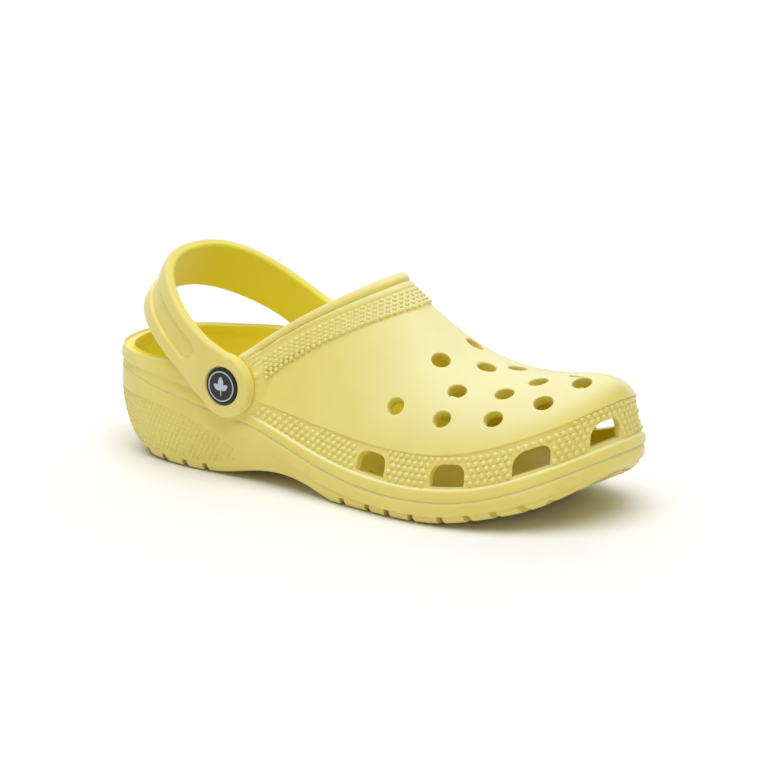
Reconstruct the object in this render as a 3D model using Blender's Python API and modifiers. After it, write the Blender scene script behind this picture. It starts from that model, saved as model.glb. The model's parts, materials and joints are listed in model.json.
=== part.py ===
"""Slip-on foam garden clog for the right foot, with a swinging heel strap held by two snap rivets.

The foam body is one moulding: sole wall, outsole, footbed, heel cup and vented upper. Its skin is lofted
through an outline of the foot and a family of ribs, which no Blender primitive makes. Everything else is
turned, swept or cut. Metres, +X to the toe, +Y to the inner side of the foot, +Z up, ground at z = 0.
"""

from math import cos, pi, radians, sin

import bmesh
import bpy
import numpy as np
from mathutils import Matrix, Vector

MM = 0.001

# overall sizes
BODY_LENGTH = 262 * MM  # heel to toe over the foam
BODY_WIDTH = 103 * MM  # across the ball of the foot
COLLAR_HEIGHT = 93.5 * MM  # ground to the top of the collar
RIM_HEIGHT = 49 * MM  # ground to the heel rim
WALL = 4.5 * MM  # foam thickness of the upper
FOOTBED_HEEL = 24 * MM  # ground to the footbed under the heel
FOOTBED_BALL = 14 * MM  # ground to the footbed under the ball of the foot

# openings in the upper
VENT_DIAMETER = 8.4 * MM
PORT_WIDTH = 16 * MM
PORT_HEIGHT = 10.6 * MM
PORT_CORNER = 5 * MM
OUTER_PORT_RISE = 0.8 * MM  # join line to the sill of a port, outer side of the foot
INNER_PORT_RISE = 5.3 * MM  # the same on the inner side

# rivets and the strap they hold
HINGE_X = -48.5 * MM
HINGE_HEIGHT = 43.7 * MM
SHANK_DIAMETER = 7 * MM
HEAD_DIAMETER = 16.6 * MM
HEAD_THICKNESS = 2.6 * MM
HEAD_PROUD = 0.5 * MM  # head above the strap's face
BADGE_DIAMETER = 14.4 * MM
BADGE_THICKNESS = 0.9 * MM
CAP_DIAMETER = 16 * MM
CAP_THICKNESS = 3.2 * MM
SEAT_DIAMETER = 30 * MM  # flat on the foam that the strap's eye turns against
SEAT_THICKNESS = 5.6 * MM
OUTER_SEAT_FACE = 41.4 * MM  # middle of the heel to that flat, outer side of the foot
INNER_SEAT_FACE = 45.4 * MM  # the same on the inner side, where the shoe is fuller
STRAP_THICKNESS = 5 * MM
STRAP_WIDTH = 22 * MM  # along the arms
STRAP_BACK_WIDTH = 25.4 * MM  # behind the heel
STRAP_REACH = 70.5 * MM  # hinge to the middle of the band behind the heel
STRAP_BOW = 0.9 * MM  # how far each arm swells outwards
EYE_DIAMETER = 29 * MM
STRAP_REST = radians(33)  # above level, as it stands when pushed up
GROOVE_WIDTH = 10 * MM
GROOVE_DEPTH = 1.1 * MM
GROOVE_START = 21 * MM  # hinge to the end of the groove, along the arm

# fits
GAP = 0.3 * MM

# fineness
RIBS = 15
HEEL_COLUMNS = 11
RIM_ROWS = 3
RIB_ROWS = 9
WALL_ROWS = 6
CROSS_ROWS = 8
ROUND = 32


def through(xs, ys, period=None):
    """Smooth curve through knots, as a function that takes arrays."""
    xs, ys = np.asarray(xs, float), np.asarray(ys, float)
    flat = ys.ndim == 1
    table = ys[:, None] if flat else ys
    knots = xs
    if period:
        knots = np.concatenate([xs[-3:] - period, xs, xs[:3] + period])
        table = np.concatenate([table[-3:], table, table[:3]])
    count, gaps = len(knots), np.diff(knots)
    left, right = np.eye(count), np.zeros((count, table.shape[1]))
    for i in range(1, count - 1):
        left[i, i - 1 : i + 2] = gaps[i - 1], 2 * (gaps[i - 1] + gaps[i]), gaps[i]
        rise_after = (table[i + 1] - table[i]) / gaps[i]
        rise_before = (table[i] - table[i - 1]) / gaps[i - 1]
        right[i] = 6 * (rise_after - rise_before)
    bends = np.linalg.solve(left, right)

    def value(at):
        at = np.asarray(at, float)
        flat_at = at.ravel()
        if period:
            flat_at = (flat_at - xs[0]) % period + xs[0]
        else:
            flat_at = np.clip(flat_at, knots[0], knots[-1])
        j = np.clip(np.searchsorted(knots, flat_at, side="right") - 1, 0, count - 2)
        gap = gaps[j]
        a = ((knots[j + 1] - flat_at) / gap)[:, None]
        b = 1 - a
        bend = ((a**3 - a) * bends[j] + (b**3 - b) * bends[j + 1]) * (gap**2)[:, None] / 6
        found = a * table[j] + b * table[j + 1] + bend
        return found.reshape(at.shape) if flat else found.reshape(at.shape + (table.shape[1],))

    return value


def ease(start, end, at):
    part = np.clip((at - start) / (end - start), 0, 1)
    return part * part * (3 - 2 * part)


def bezier(a, b, c, d, t):
    t = np.asarray(t)[..., None]
    return (1 - t) ** 3 * a + 3 * t * (1 - t) ** 2 * b + 3 * t * t * (1 - t) * c + t**3 * d


def unit(vectors):
    return vectors / np.maximum(np.linalg.norm(vectors, axis=-1, keepdims=True), 1e-12)


# widest outline: share of the half length, share of the half width; heel, outer side, toe, inner side
OUTLINE = (
    (-1.000, 0.000), (-0.935, -0.466), (-0.748, -0.718), (-0.458, -0.786), (-0.153, -0.835),
    (0.168, -0.961), (0.458, -1.029), (0.718, -0.893), (0.901, -0.544), (1.000, 0.039),
    (0.962, 0.485), (0.832, 0.796), (0.595, 0.932), (0.290, 0.903), (-0.076, 0.870),
    (-0.458, 0.866), (-0.748, 0.790), (-0.935, 0.500),
)
# heights along the shoe, as (share of the half length, height)
EDGE = (
    (-1.0, 15), (-0.931, 6), (-0.824, 1), (-0.763, 0), (-0.534, 0), (-0.427, 1.2), (-0.229, 6),
    (-0.038, 4.2), (0.076, 0), (0.382, 0), (0.496, 0.6), (0.725, 5.5), (0.878, 11), (1.0, 20),
)
JOIN = (
    (-1.0, 42), (-0.763, 41), (-0.534, 38), (-0.336, 33.5), (-0.153, 27), (0.038, 20.5),
    (0.229, 17), (0.458, 16.5), (0.687, 20.5), (0.863, 28.6), (1.0, 37),
)
SPINE = (
    (0.099, 1.0), (0.191, 0.898), (0.267, 0.820), (0.382, 0.721), (0.496, 0.654),
    (0.611, 0.636), (0.702, 0.647), (0.809, 0.672),
)  # second value: share of the collar height
RIM = ((-1.0, -0.5), (-0.802, -1), (-0.649, 0), (-0.534, 2), (-0.427, 5))  # over the rim height
TUCK = (
    (-1.0, 17), (-0.878, 10), (-0.725, 5.5), (-0.458, 3.5), (-0.153, 2.5), (0.229, 3),
    (0.611, 4), (0.840, 7), (1.0, 10),
)
FOOTBED = ((-1.0, 1.0), (-0.5, 0.93), (-0.2, 0.62), (0.0, 0.28), (0.2, 0.06), (0.4, 0.0),
           (0.62, 0.10), (0.8, 0.62), (1.0, 1.5))  # 0 at the ball, 1 under the heel
SPINE_AT = ((0, 0.099), (0.25, 0.275), (0.5, 0.458), (0.75, 0.641), (0.9, 0.748), (1, 0.809))
LEAN = ((0, 5), (0.15, 14), (0.4, 15), (0.7, 5), (1, 1))
FOOT_HANDLE = ((0, 21), (0.2, 24), (0.5, 31), (0.8, 28), (1, 23))
SPINE_HANDLE = ((0, 22), (0.2, 26), (0.5, 26), (0.8, 27), (1, 26))
COLLAR_FOOT = -0.427
COLLAR_JOIN = 0.23  # share of the collar's rib that the heel cup runs up

HALF = BODY_LENGTH / 2
OUTLINE_XY = np.array(OUTLINE) * (HALF, BODY_WIDTH / 2)
SPANS = np.linalg.norm(np.roll(OUTLINE_XY, -1, axis=0) - OUTLINE_XY, axis=1)
AROUND = SPANS.sum()
outline = through(np.concatenate([[0], np.cumsum(SPANS)[:-1]]), OUTLINE_XY, AROUND)
FINE_U = np.linspace(0, AROUND, 20001)
FINE_XY = outline(FINE_U)
TOE_U = FINE_U[np.argmax(FINE_XY[:, 0])]


def table(rows, scale=MM, along=HALF):
    rows = np.array(rows, float)
    return through(rows[:, 0] * along, rows[:, 1] * scale)


edge_height = table(EDGE)
join_height = table(JOIN)
spine_height = table(SPINE, COLLAR_HEIGHT)
rim_rise = table(RIM)
tuck_depth = table(TUCK)
footbed_share = table(FOOTBED, 1)
spine_place = table(SPINE_AT, HALF, 1)
lean_angle = table(LEAN, pi / 180, 1)
foot_handle = table(FOOT_HANDLE, MM, 1)
spine_handle = table(SPINE_HANDLE, MM, 1)


def outline_at(x, side):
    """Distance round the outline of the point at x, on the outer (-1) or the inner (1) side."""
    outer = FINE_U <= TOE_U
    if side < 0:
        return float(np.interp(x, FINE_XY[outer, 0], FINE_U[outer]))
    return float(np.interp(-x, -FINE_XY[~outer, 0], FINE_U[~outer]))


COLLAR_U = {side: outline_at(COLLAR_FOOT * HALF, side) for side in (-1, 1)}
HEEL_U = {-1: 0.0, 1: AROUND}


def outward(u):
    step = outline(u + 0.3 * MM) - outline(u - 0.3 * MM)
    step = unit(step)
    return np.stack([step[..., 1], -step[..., 0], np.zeros_like(step[..., 0])], -1)


def join_line(u):
    xy = outline(u)
    return np.concatenate([xy, join_height(xy[..., 0])[..., None]], -1)


def edge_line(u):
    xy = outline(u)
    height = np.maximum(edge_height(xy[..., 0]), 0)
    flat = np.concatenate([xy, height[..., None]], -1)
    return flat - outward(u) * tuck_depth(xy[..., 0])[..., None]


def sole_wall(u, w):
    """Side of the sole, from the join with the upper (w = 0) down to the edge of the tread (w = 1)."""
    u, w = np.broadcast_arrays(u, w)
    top, bottom, out = join_line(u), edge_line(u), outward(u)
    drop = np.zeros_like(top)
    drop[..., 2] = top[..., 2] - bottom[..., 2]
    tuck = tuck_depth(top[..., 0])[..., None]
    return bezier(
        top, top - 0.62 * drop + 2.2 * MM * out, bottom + 0.8 * tuck * out + 0.03 * drop, bottom, w
    )


def upper(r, t, side):
    """Upper, along the foot from collar (r = 0) to toe (r = 1), from the join (t = 0) up to the spine."""
    r, t = np.broadcast_arrays(np.asarray(r, float), np.asarray(t, float))
    foot = join_line(COLLAR_U[side] + (TOE_U - COLLAR_U[side]) * r)
    out = outward(COLLAR_U[side] + (TOE_U - COLLAR_U[side]) * r)
    lean = lean_angle(r)[..., None]
    rise = np.cos(lean) * np.array([0, 0, 1.0]) - np.sin(lean) * out
    rise = rise + (1 - ease(0, 0.25, r))[..., None] * np.array([-0.19, 0, 0])
    x = spine_place(r)
    top = np.stack([x, np.zeros_like(x), spine_height(x)], -1)
    slope = (spine_height(x + 0.1 * MM) - spine_height(x - 0.1 * MM)) / (0.2 * MM)
    along = unit(np.stack([np.ones_like(x), np.zeros_like(x), slope], -1))
    turn = (pi / 2 * ease(0.45, 1, r))[..., None]
    across = np.sin(turn) * along + np.cos(turn) * np.array([0, float(side), 0])
    return bezier(
        foot,
        foot + rise * foot_handle(r)[..., None],
        top + across * spine_handle(r)[..., None],
        top,
        t,
    )


def heel_cup(u, w, side):
    """Heel cup above the join: it meets the collar's rib exactly, at the end of the cup."""

    def plain(at, share):
        foot, out = join_line(at), outward(at)
        top = foot - 0.8 * MM * out
        top[..., 2] = RIM_HEIGHT + rim_rise(foot[..., 0])
        lift = np.zeros_like(foot)
        lift[..., 2] = top[..., 2] - foot[..., 2]
        return bezier(foot, foot + 0.35 * lift + 0.5 * MM * out, top - 0.35 * lift, top, share)

    u, w = np.broadcast_arrays(u, w)
    end = np.full_like(u, COLLAR_U[side])
    miss = upper(np.zeros_like(w), COLLAR_JOIN * w, side) - plain(end, w)
    near = ease(-0.69 * HALF, COLLAR_FOOT * HALF, join_line(u)[..., 0])[..., None]
    return plain(u, w) + near * miss


def footbed_edge(u):
    xy = outline(u)
    share = footbed_share(xy[..., 0])
    height = FOOTBED_BALL + (FOOTBED_HEEL - FOOTBED_BALL) * share + 1.2 * MM
    return np.concatenate([xy, height[..., None]], -1) - outward(u) * (WALL + 4 * MM)


def grid_normals(points, side):
    """Outward normals of a grid whose first axis runs to the toe and whose second runs upwards."""
    ahead = np.gradient(points, axis=0)
    up = np.gradient(points, axis=1)
    return unit(np.cross(ahead, up) * -side)


class Skin:
    """Gathers four-sided patches and closes them into one mesh."""

    def __init__(self):
        self.points, self.faces = [], []

    def patch(self, grid, flip):
        rows, columns = grid.shape[:2]
        first = sum(len(p) for p in self.points)
        self.points.append(grid.reshape(-1, 3))
        for i in range(rows - 1):
            for j in range(columns - 1):
                a = first + i * columns + j
                quad = (a, a + columns, a + columns + 1, a + 1)
                self.faces.append(quad[::-1] if flip else quad)

    def build(self, name, collection):
        mesh = bpy.data.meshes.new(name)
        mesh.from_pydata(np.concatenate(self.points).tolist(), [], self.faces)
        work = bmesh.new()
        work.from_mesh(mesh)
        bmesh.ops.remove_doubles(work, verts=work.verts, dist=0.02 * MM)
        bmesh.ops.dissolve_degenerate(work, edges=work.edges, dist=0.02 * MM)
        bmesh.ops.recalc_face_normals(work, faces=work.faces)
        work.to_mesh(mesh)
        work.free()
        thing = bpy.data.objects.new(name, mesh)
        collection.objects.link(thing)
        return thing


def seam_normals(cup, vamp):
    """Outward normals of both sides' grids, made to agree where the grids meet each other."""
    cup_out = {side: grid_normals(cup[side], side) for side in cup}
    vamp_out = {side: grid_normals(vamp[side], side) for side in vamp}
    toe = unit(vamp_out[-1][-1] + vamp_out[1][-1])
    corner = vamp_out[-1][-2, -1] + vamp_out[1][-2, -1] + 2 * toe[-2]
    for side in (-1, 1):
        vamp_out[side][-1] = toe
        vamp_out[side][-1, -1] = corner
        vamp_out[side][:, -1, 1] = 0
        cup_out[side][0, :, 1] = 0
        shared = cup_out[side][-1] + vamp_out[side][0, : RIM_ROWS + 1]
        cup_out[side][-1] = shared
        vamp_out[side][0, : RIM_ROWS + 1] = shared
        cup_out[side], vamp_out[side] = unit(cup_out[side]), unit(vamp_out[side])
    return cup_out, vamp_out


def body_skin(collection):
    """The whole foam moulding without its openings."""
    skin = Skin()
    r = np.linspace(0, 1, RIBS)
    t = np.concatenate([
        np.linspace(0, COLLAR_JOIN, RIM_ROWS + 1),
        np.linspace(COLLAR_JOIN, 1, RIB_ROWS + 1)[1:],
    ])
    share = np.linspace(0, 1, RIM_ROWS + 1)
    all_u, cups, vamps = {}, {}, {}
    for side in (-1, 1):
        heel_u = HEEL_U[side] + (COLLAR_U[side] - HEEL_U[side]) * np.linspace(0, 1, HEEL_COLUMNS)
        toe_u = COLLAR_U[side] + (TOE_U - COLLAR_U[side]) * r
        all_u[side] = np.concatenate([heel_u, toe_u[1:]])
        cups[side] = heel_cup(heel_u[:, None], share[None, :], side)
        vamps[side] = upper(r[:, None], t[None, :], side)
    cup_outs, vamp_outs = seam_normals(cups, vamps)

    edges, beds = {}, {}
    for side in (-1, 1):
        flip = side > 0
        wall = sole_wall(all_u[side][:, None], np.linspace(0, 1, WALL_ROWS + 1)[None, :])
        skin.patch(wall[:, ::-1], flip)
        cup, vamp = cups[side], vamps[side]
        cup_in = cup - WALL * cup_outs[side]
        vamp_in = vamp - WALL * vamp_outs[side]
        skin.patch(cup, flip)
        skin.patch(vamp, flip)
        skin.patch(cup_in, not flip)
        skin.patch(vamp_in, not flip)

        lip = np.concatenate([cup[:, -1], vamp[0, RIM_ROWS + 1 :]])
        lip_in = np.concatenate([cup_in[:, -1], vamp_in[0, RIM_ROWS + 1 :]])
        lip_out = np.concatenate([cup_outs[side][:, -1], vamp_outs[side][0, RIM_ROWS + 1 :]])
        away = unit(np.cross(lip_out, np.gradient(lip, axis=0)) * side)
        away[0, 1] = 0
        away[-1, 1] = 0
        crest = (lip + lip_in) / 2 + 1.3 * MM * unit(away)
        skin.patch(np.stack([lip, crest, lip_in], 1), flip)

        inner_join = np.concatenate([cup_in[:, 0], vamp_in[1:, 0]])
        bed = footbed_edge(all_u[side])
        knee = inner_join * 0.75 + bed * 0.25
        knee[:, 2] = inner_join[:, 2] * 0.25 + bed[:, 2] * 0.75
        skin.patch(np.stack([bed, knee, inner_join], 1), not flip)
        edges[side], beds[side] = wall[:, -1], bed

    across = np.linspace(0, 1, CROSS_ROWS + 1)[None, :, None]
    tread = edges[-1][:, None] * (1 - across) + edges[1][:, None] * across
    skin.patch(tread, True)
    bed = beds[-1][:, None] * (1 - across) + beds[1][:, None] * across
    bed[..., 2] -= (1.2 * MM * (1 - (2 * across - 1) ** 4))[..., 0]
    skin.patch(bed, False)
    return skin.build("clog_body", collection)


def new_collection(name, hidden=False):
    collection = bpy.data.collections.new(name)
    collection.hide_render = hidden
    bpy.context.scene.collection.children.link(collection)
    return collection


def foam_material(name, colour, roughness):
    material = bpy.data.materials.new(name)
    material.use_nodes = True
    shader = material.node_tree.nodes["Principled BSDF"]
    shader.inputs["Base Color"].default_value = (*colour, 1)
    shader.inputs["Roughness"].default_value = roughness
    shader.inputs["Metallic"].default_value = 0
    return material


def from_bmesh(work, name, collection):
    mesh = bpy.data.meshes.new(name)
    work.to_mesh(mesh)
    work.free()
    thing = bpy.data.objects.new(name, mesh)
    collection.objects.link(thing)
    return thing


def turned(name, profile, place, collection, steps=ROUND):
    """Solid turned about local Z from (radius, height) points that start and end on the axis."""
    mesh = bpy.data.meshes.new(name)
    mesh.from_pydata(
        [(radius, 0, height) for radius, height in profile],
        [(i, i + 1) for i in range(len(profile) - 1)],
        [],
    )
    thing = bpy.data.objects.new(name, mesh)
    collection.objects.link(thing)
    screw = thing.modifiers.new("Turn", "SCREW")
    screw.steps = steps
    screw.render_steps = steps
    screw.use_merge_vertices = True
    screw.merge_threshold = 0.01 * MM
    screw.use_smooth_shade = True
    thing.matrix_world = place
    bpy.context.view_layer.update()
    graph = bpy.context.evaluated_depsgraph_get()
    solid = bpy.data.meshes.new_from_object(thing.evaluated_get(graph))
    thing.modifiers.clear()
    work = bmesh.new()
    work.from_mesh(solid)
    bmesh.ops.recalc_face_normals(work, faces=work.faces)
    work.to_mesh(mesh)
    work.free()
    return thing


def add_rod(work, middle, axis, radius, length, segments):
    """Cylinder added to a bmesh, centred on middle along axis."""
    turn = Vector((0, 0, 1)).rotation_difference(Vector(axis)).to_matrix().to_4x4()
    bmesh.ops.create_cone(
        work,
        cap_ends=True,
        segments=segments,
        radius1=radius,
        radius2=radius,
        depth=length,
        matrix=Matrix.Translation(Vector(middle)) @ turn,
    )


def cut(thing, cutter, operation="DIFFERENCE"):
    boolean = thing.modifiers.new(operation.title() + " " + cutter.name, "BOOLEAN")
    boolean.solver = "EXACT"
    boolean.operation = operation
    boolean.object = cutter
    return boolean


def settle(thing):
    """Makes the object's modifiers real."""
    bpy.context.view_layer.update()
    graph = bpy.context.evaluated_depsgraph_get()
    solid = bpy.data.meshes.new_from_object(thing.evaluated_get(graph))
    thing.modifiers.clear()
    thing.data = solid
    solid.name = thing.name


SEAT_FACES = {-1: OUTER_SEAT_FACE, 1: INNER_SEAT_FACE}
PORT_RISES = {-1: OUTER_PORT_RISE, 1: INNER_PORT_RISE}
STRAP_MIDDLE = (INNER_SEAT_FACE - OUTER_SEAT_FACE) / 2  # the strap's own centre line
STRAP_SIDE = (INNER_SEAT_FACE + OUTER_SEAT_FACE) / 2 + GAP + STRAP_THICKNESS / 2


def hinge_place(side):
    """Frame on the hinge axis at the flat seat, local Z pointing away from the shoe."""
    turn = Matrix.Rotation(-side * pi / 2, 4, "X")
    return Matrix.Translation((HINGE_X, side * SEAT_FACES[side], HINGE_HEIGHT)) @ turn


# vents as (side, r, t); the ones on the inner side repeat the outer ones where they are out of sight
VENTS = (
    (-1, 0.406, 0.768), (-1, 0.549, 0.918), (-1, 0.542, 0.607), (-1, 0.668, 0.649),
    (-1, 0.753, 0.796), (-1, 0.877, 0.653), (-1, 0.775, 0.495), (-1, 0.408, 0.389),
    (-1, 0.551, 0.387), (-1, 0.672, 0.411), (1, 0.409, 0.913), (1, 0.637, 0.946),
    (1, 0.44, 0.56), (1, 0.57, 0.57), (1, 0.70, 0.54),
)
PORTS = (
    (-1, 0.4135), (-1, 0.6015), (-1, 0.7755), (-1, 0.9355),
    (1, 0.360), (1, 0.565), (1, 0.735), (1, 0.895),
)


def vent_cutters(collection):
    work = bmesh.new()
    step = 0.004
    for side, r, t in VENTS:
        rs, ts = np.meshgrid([r - step, r, r + step], [t - step, t, t + step], indexing="ij")
        around = upper(rs, ts, side)
        out = grid_normals(around, side)[1, 1]
        middle = around[1, 1] - out * WALL / 2
        add_rod(work, middle, out, VENT_DIAMETER / 2, 5 * WALL, 20)
    return from_bmesh(work, "vent_cutters", collection)


def arch_outline(width, height, corner, steps=4):
    """Flat-bottomed opening with round upper corners, counter-clockwise from the lower left."""
    half = width / 2
    points = [(-half, 0), (half, 0)]
    for middle, start in ((half - corner, 0), (-half + corner, pi / 2)):
        for i in range(steps + 1):
            angle = start + pi / 2 * i / steps
            points.append((middle + corner * cos(angle), height - corner + corner * sin(angle)))
    return points


def port_cutters(collection):
    work = bmesh.new()
    for side, r in PORTS:
        u = COLLAR_U[side] + (TOE_U - COLLAR_U[side]) * r
        foot = join_line(np.array(u))
        out = outward(np.array(u))
        along = unit(join_line(np.array(u + MM)) - join_line(np.array(u - MM)))
        up = unit(np.cross(out, along))
        rings = []
        for reach in (-11 * MM, 9 * MM):
            base = foot + out * reach + up * (PORT_RISES[side] + 0.12 * reach)
            ring = [
                work.verts.new(base + along * a + up * b)
                for a, b in arch_outline(PORT_WIDTH, PORT_HEIGHT, PORT_CORNER)
            ]
            rings.append(ring)
        work.faces.new(rings[0])
        work.faces.new(rings[1][::-1])
        for i in range(len(rings[0])):
            k = (i + 1) % len(rings[0])
            work.faces.new((rings[0][k], rings[0][i], rings[1][i], rings[1][k]))
    bmesh.ops.recalc_face_normals(work, faces=work.faces)
    return from_bmesh(work, "port_cutters", collection)


def make_body(parts, cutters):
    body = body_skin(parts)
    seats, holes, hollows = bmesh.new(), bmesh.new(), bmesh.new()
    for side in (-1, 1):
        seat_middle = (HINGE_X, side * (SEAT_FACES[side] - SEAT_THICKNESS / 2), HINGE_HEIGHT)
        add_rod(seats, seat_middle, (0, 1, 0), SEAT_DIAMETER / 2, SEAT_THICKNESS, 36)
        hole_middle = (HINGE_X, side * SEAT_FACES[side], HINGE_HEIGHT)
        add_rod(holes, hole_middle, (0, 1, 0), SHANK_DIAMETER / 2 + GAP, 4 * WALL, 24)
        outside = (HINGE_X, side * (SEAT_FACES[side] + 5 * MM), HINGE_HEIGHT)
        add_rod(hollows, outside, (0, 1, 0), EYE_DIAMETER / 2 + MM, 10 * MM, 48)
        inside = (HINGE_X, side * (SEAT_FACES[side] - SEAT_THICKNESS - 5 * MM), HINGE_HEIGHT)
        add_rod(hollows, inside, (0, 1, 0), CAP_DIAMETER / 2 + GAP, 10 * MM, ROUND)
    cut(body, from_bmesh(seats, "seats", cutters), "UNION")
    cut(body, from_bmesh(hollows, "seat_hollows", cutters))
    cut(body, from_bmesh(holes, "rivet_holes", cutters))
    cut(body, vent_cutters(cutters))
    cut(body, port_cutters(cutters))
    settle(body)
    return body


def band_path(count):
    """Middle line of the strap: (distance behind the hinge, distance to the side, half width)."""
    side_line = STRAP_SIDE
    shape = 2.4
    start, end = 0.0, pi / 2
    rows = []
    for angle in np.linspace(start, end, count):
        back = STRAP_REACH * sin(angle) ** (2 / shape)
        out = side_line * cos(angle) ** (2 / shape)
        swell = STRAP_BOW * ease(0, 0.2, back / STRAP_REACH) * (1 - ease(0.45, 1, back / STRAP_REACH))
        rows.append((back, out + swell))
    return np.array(rows)


def even_path(rows, spacing):
    """The same line with points at even spacing."""
    run = np.concatenate([[0], np.cumsum(np.linalg.norm(np.diff(rows, axis=0), axis=1))])
    steps = max(2, int(round(run[-1] / spacing)))
    at = np.linspace(0, run[-1], steps + 1)
    return np.stack([np.interp(at, run, rows[:, 0]), np.interp(at, run, rows[:, 1])], 1)


def ribbon(name, start, half_width, thickness, offset, collection, rows=2):
    """Band that follows the strap's line on both sides, in the strap's own flat frame."""
    path = even_path(band_path(160), 5 * MM)
    path = path[path[:, 0] >= start]
    whole = np.concatenate([path * (1, -1), path[-2::-1]]) + (0, STRAP_MIDDLE)
    run = np.gradient(whole, axis=0)
    run = unit(run)
    out = np.stack([-run[:, 1], run[:, 0]], 1)
    if (out * (whole - whole.mean(axis=0))).sum() < 0:
        out = -out
    whole = whole + out * offset
    heights = np.linspace(-1, 1, rows + 1)
    points, faces = [], []
    for back, side in whole:
        wide = half_width(back)
        for height in heights:
            points.append((-back, side, wide * height))
    for i in range(len(whole) - 1):
        for j in range(rows):
            a = i * (rows + 1) + j
            faces.append((a, a + rows + 1, a + rows + 2, a + 1))
    mesh = bpy.data.meshes.new(name)
    mesh.from_pydata(points, [], faces)
    band = bpy.data.objects.new(name, mesh)
    collection.objects.link(band)
    solidify = band.modifiers.new("Thickness", "SOLIDIFY")
    solidify.thickness = thickness
    solidify.offset = 0
    solidify.use_even_offset = True
    return band


def strap_half_width(back):
    flare = (EYE_DIAMETER - STRAP_WIDTH) / 2 * 0.7
    wide = STRAP_WIDTH / 2 + flare * (1 - float(ease(2 * MM, 24 * MM, back)))
    return wide + (STRAP_BACK_WIDTH - STRAP_WIDTH) / 2 * float(ease(0.45 * STRAP_REACH, STRAP_REACH, back))


def groove_half_width(back):
    return GROOVE_WIDTH / 2 * float(0.55 + 0.45 * ease(GROOVE_START, GROOVE_START + 7 * MM, back))


def make_strap(parts, cutters):
    strap = ribbon("heel_strap", 0, strap_half_width, STRAP_THICKNESS - 0.1 * MM, 0, parts)
    settle(strap)
    bevel = strap.modifiers.new("Soft edges", "BEVEL")
    bevel.width = 1.3 * MM
    bevel.segments = 2
    bevel.limit_method = "ANGLE"
    bevel.angle_limit = radians(50)
    settle(strap)
    eyes, bores = bmesh.new(), bmesh.new()
    for side in (-1, 1):
        side_line = SEAT_FACES[side] + GAP + STRAP_THICKNESS / 2
        add_rod(eyes, (0, side * side_line, 0), (0, 1, 0), EYE_DIAMETER / 2, STRAP_THICKNESS, 48)
        add_rod(bores, (0, side * side_line, 0), (0, 1, 0), SHANK_DIAMETER / 2 + GAP, 30 * MM, 24)
        deep = HEAD_THICKNESS - HEAD_PROUD + GAP
        outer_face = side_line + STRAP_THICKNESS / 2
        sink = (0, side * (outer_face - deep + 5 * MM), 0)
        add_rod(bores, sink, (0, 1, 0), HEAD_DIAMETER / 2 + GAP, 10 * MM, ROUND)
    cut(strap, from_bmesh(eyes, "strap_eyes", cutters), "UNION")
    groove = ribbon(
        "strap_groove", GROOVE_START, groove_half_width, 4 * MM,
        STRAP_THICKNESS / 2 - GROOVE_DEPTH + 2 * MM, cutters,
    )
    settle(groove)
    cut(strap, groove)
    bore = from_bmesh(bores, "strap_bores", cutters)
    boolean = cut(strap, bore)
    boolean.use_self = True
    settle(strap)
    strap.location = (HINGE_X, 0, HINGE_HEIGHT)
    strap.rotation_euler = (0, STRAP_REST, 0)
    return strap


def make_rivet(side, label, parts):
    place = hinge_place(side)
    head_top = GAP + STRAP_THICKNESS + HEAD_PROUD
    head_under = head_top - HEAD_THICKNESS
    head, shank = HEAD_DIAMETER / 2, SHANK_DIAMETER / 2
    recess = BADGE_DIAMETER / 2 + 0.1 * MM
    recess_floor = head_top - BADGE_THICKNESS
    tip = -SEAT_THICKNESS - GAP - 0.6 * CAP_THICKNESS
    stud = turned(
        "rivet_stud_" + label,
        [
            (0, tip), (shank - 0.5 * MM, tip), (shank, tip + 0.5 * MM), (shank, head_under),
            (head - 0.4 * MM, head_under), (head, head_under + 0.4 * MM),
            (head, head_top - 0.5 * MM), (head - 0.4 * MM, head_top),
            (recess, head_top), (recess, recess_floor), (0, recess_floor),
        ],
        place, parts,
    )
    radius = BADGE_DIAMETER / 2 - 0.1 * MM
    badge = turned(
        "rivet_badge_" + label,
        [
            (0, recess_floor + 0.1 * MM), (radius, recess_floor + 0.1 * MM),
            (radius, head_top), (radius - 0.3 * MM, head_top + 0.15 * MM), (0, head_top + 0.35 * MM),
        ],
        place, parts,
    )
    cap_top = -SEAT_THICKNESS - GAP
    cap_low = cap_top - CAP_THICKNESS
    bore = shank + GAP
    cap = turned(
        "rivet_cap_" + label,
        [
            (0, cap_low), (CAP_DIAMETER / 2 - 1.4 * MM, cap_low), (CAP_DIAMETER / 2, cap_low + 1.2 * MM),
            (CAP_DIAMETER / 2, cap_top), (bore, cap_top), (bore, tip - GAP), (0, tip - GAP),
        ],
        place, parts,
    )
    return stud, badge, cap


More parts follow.
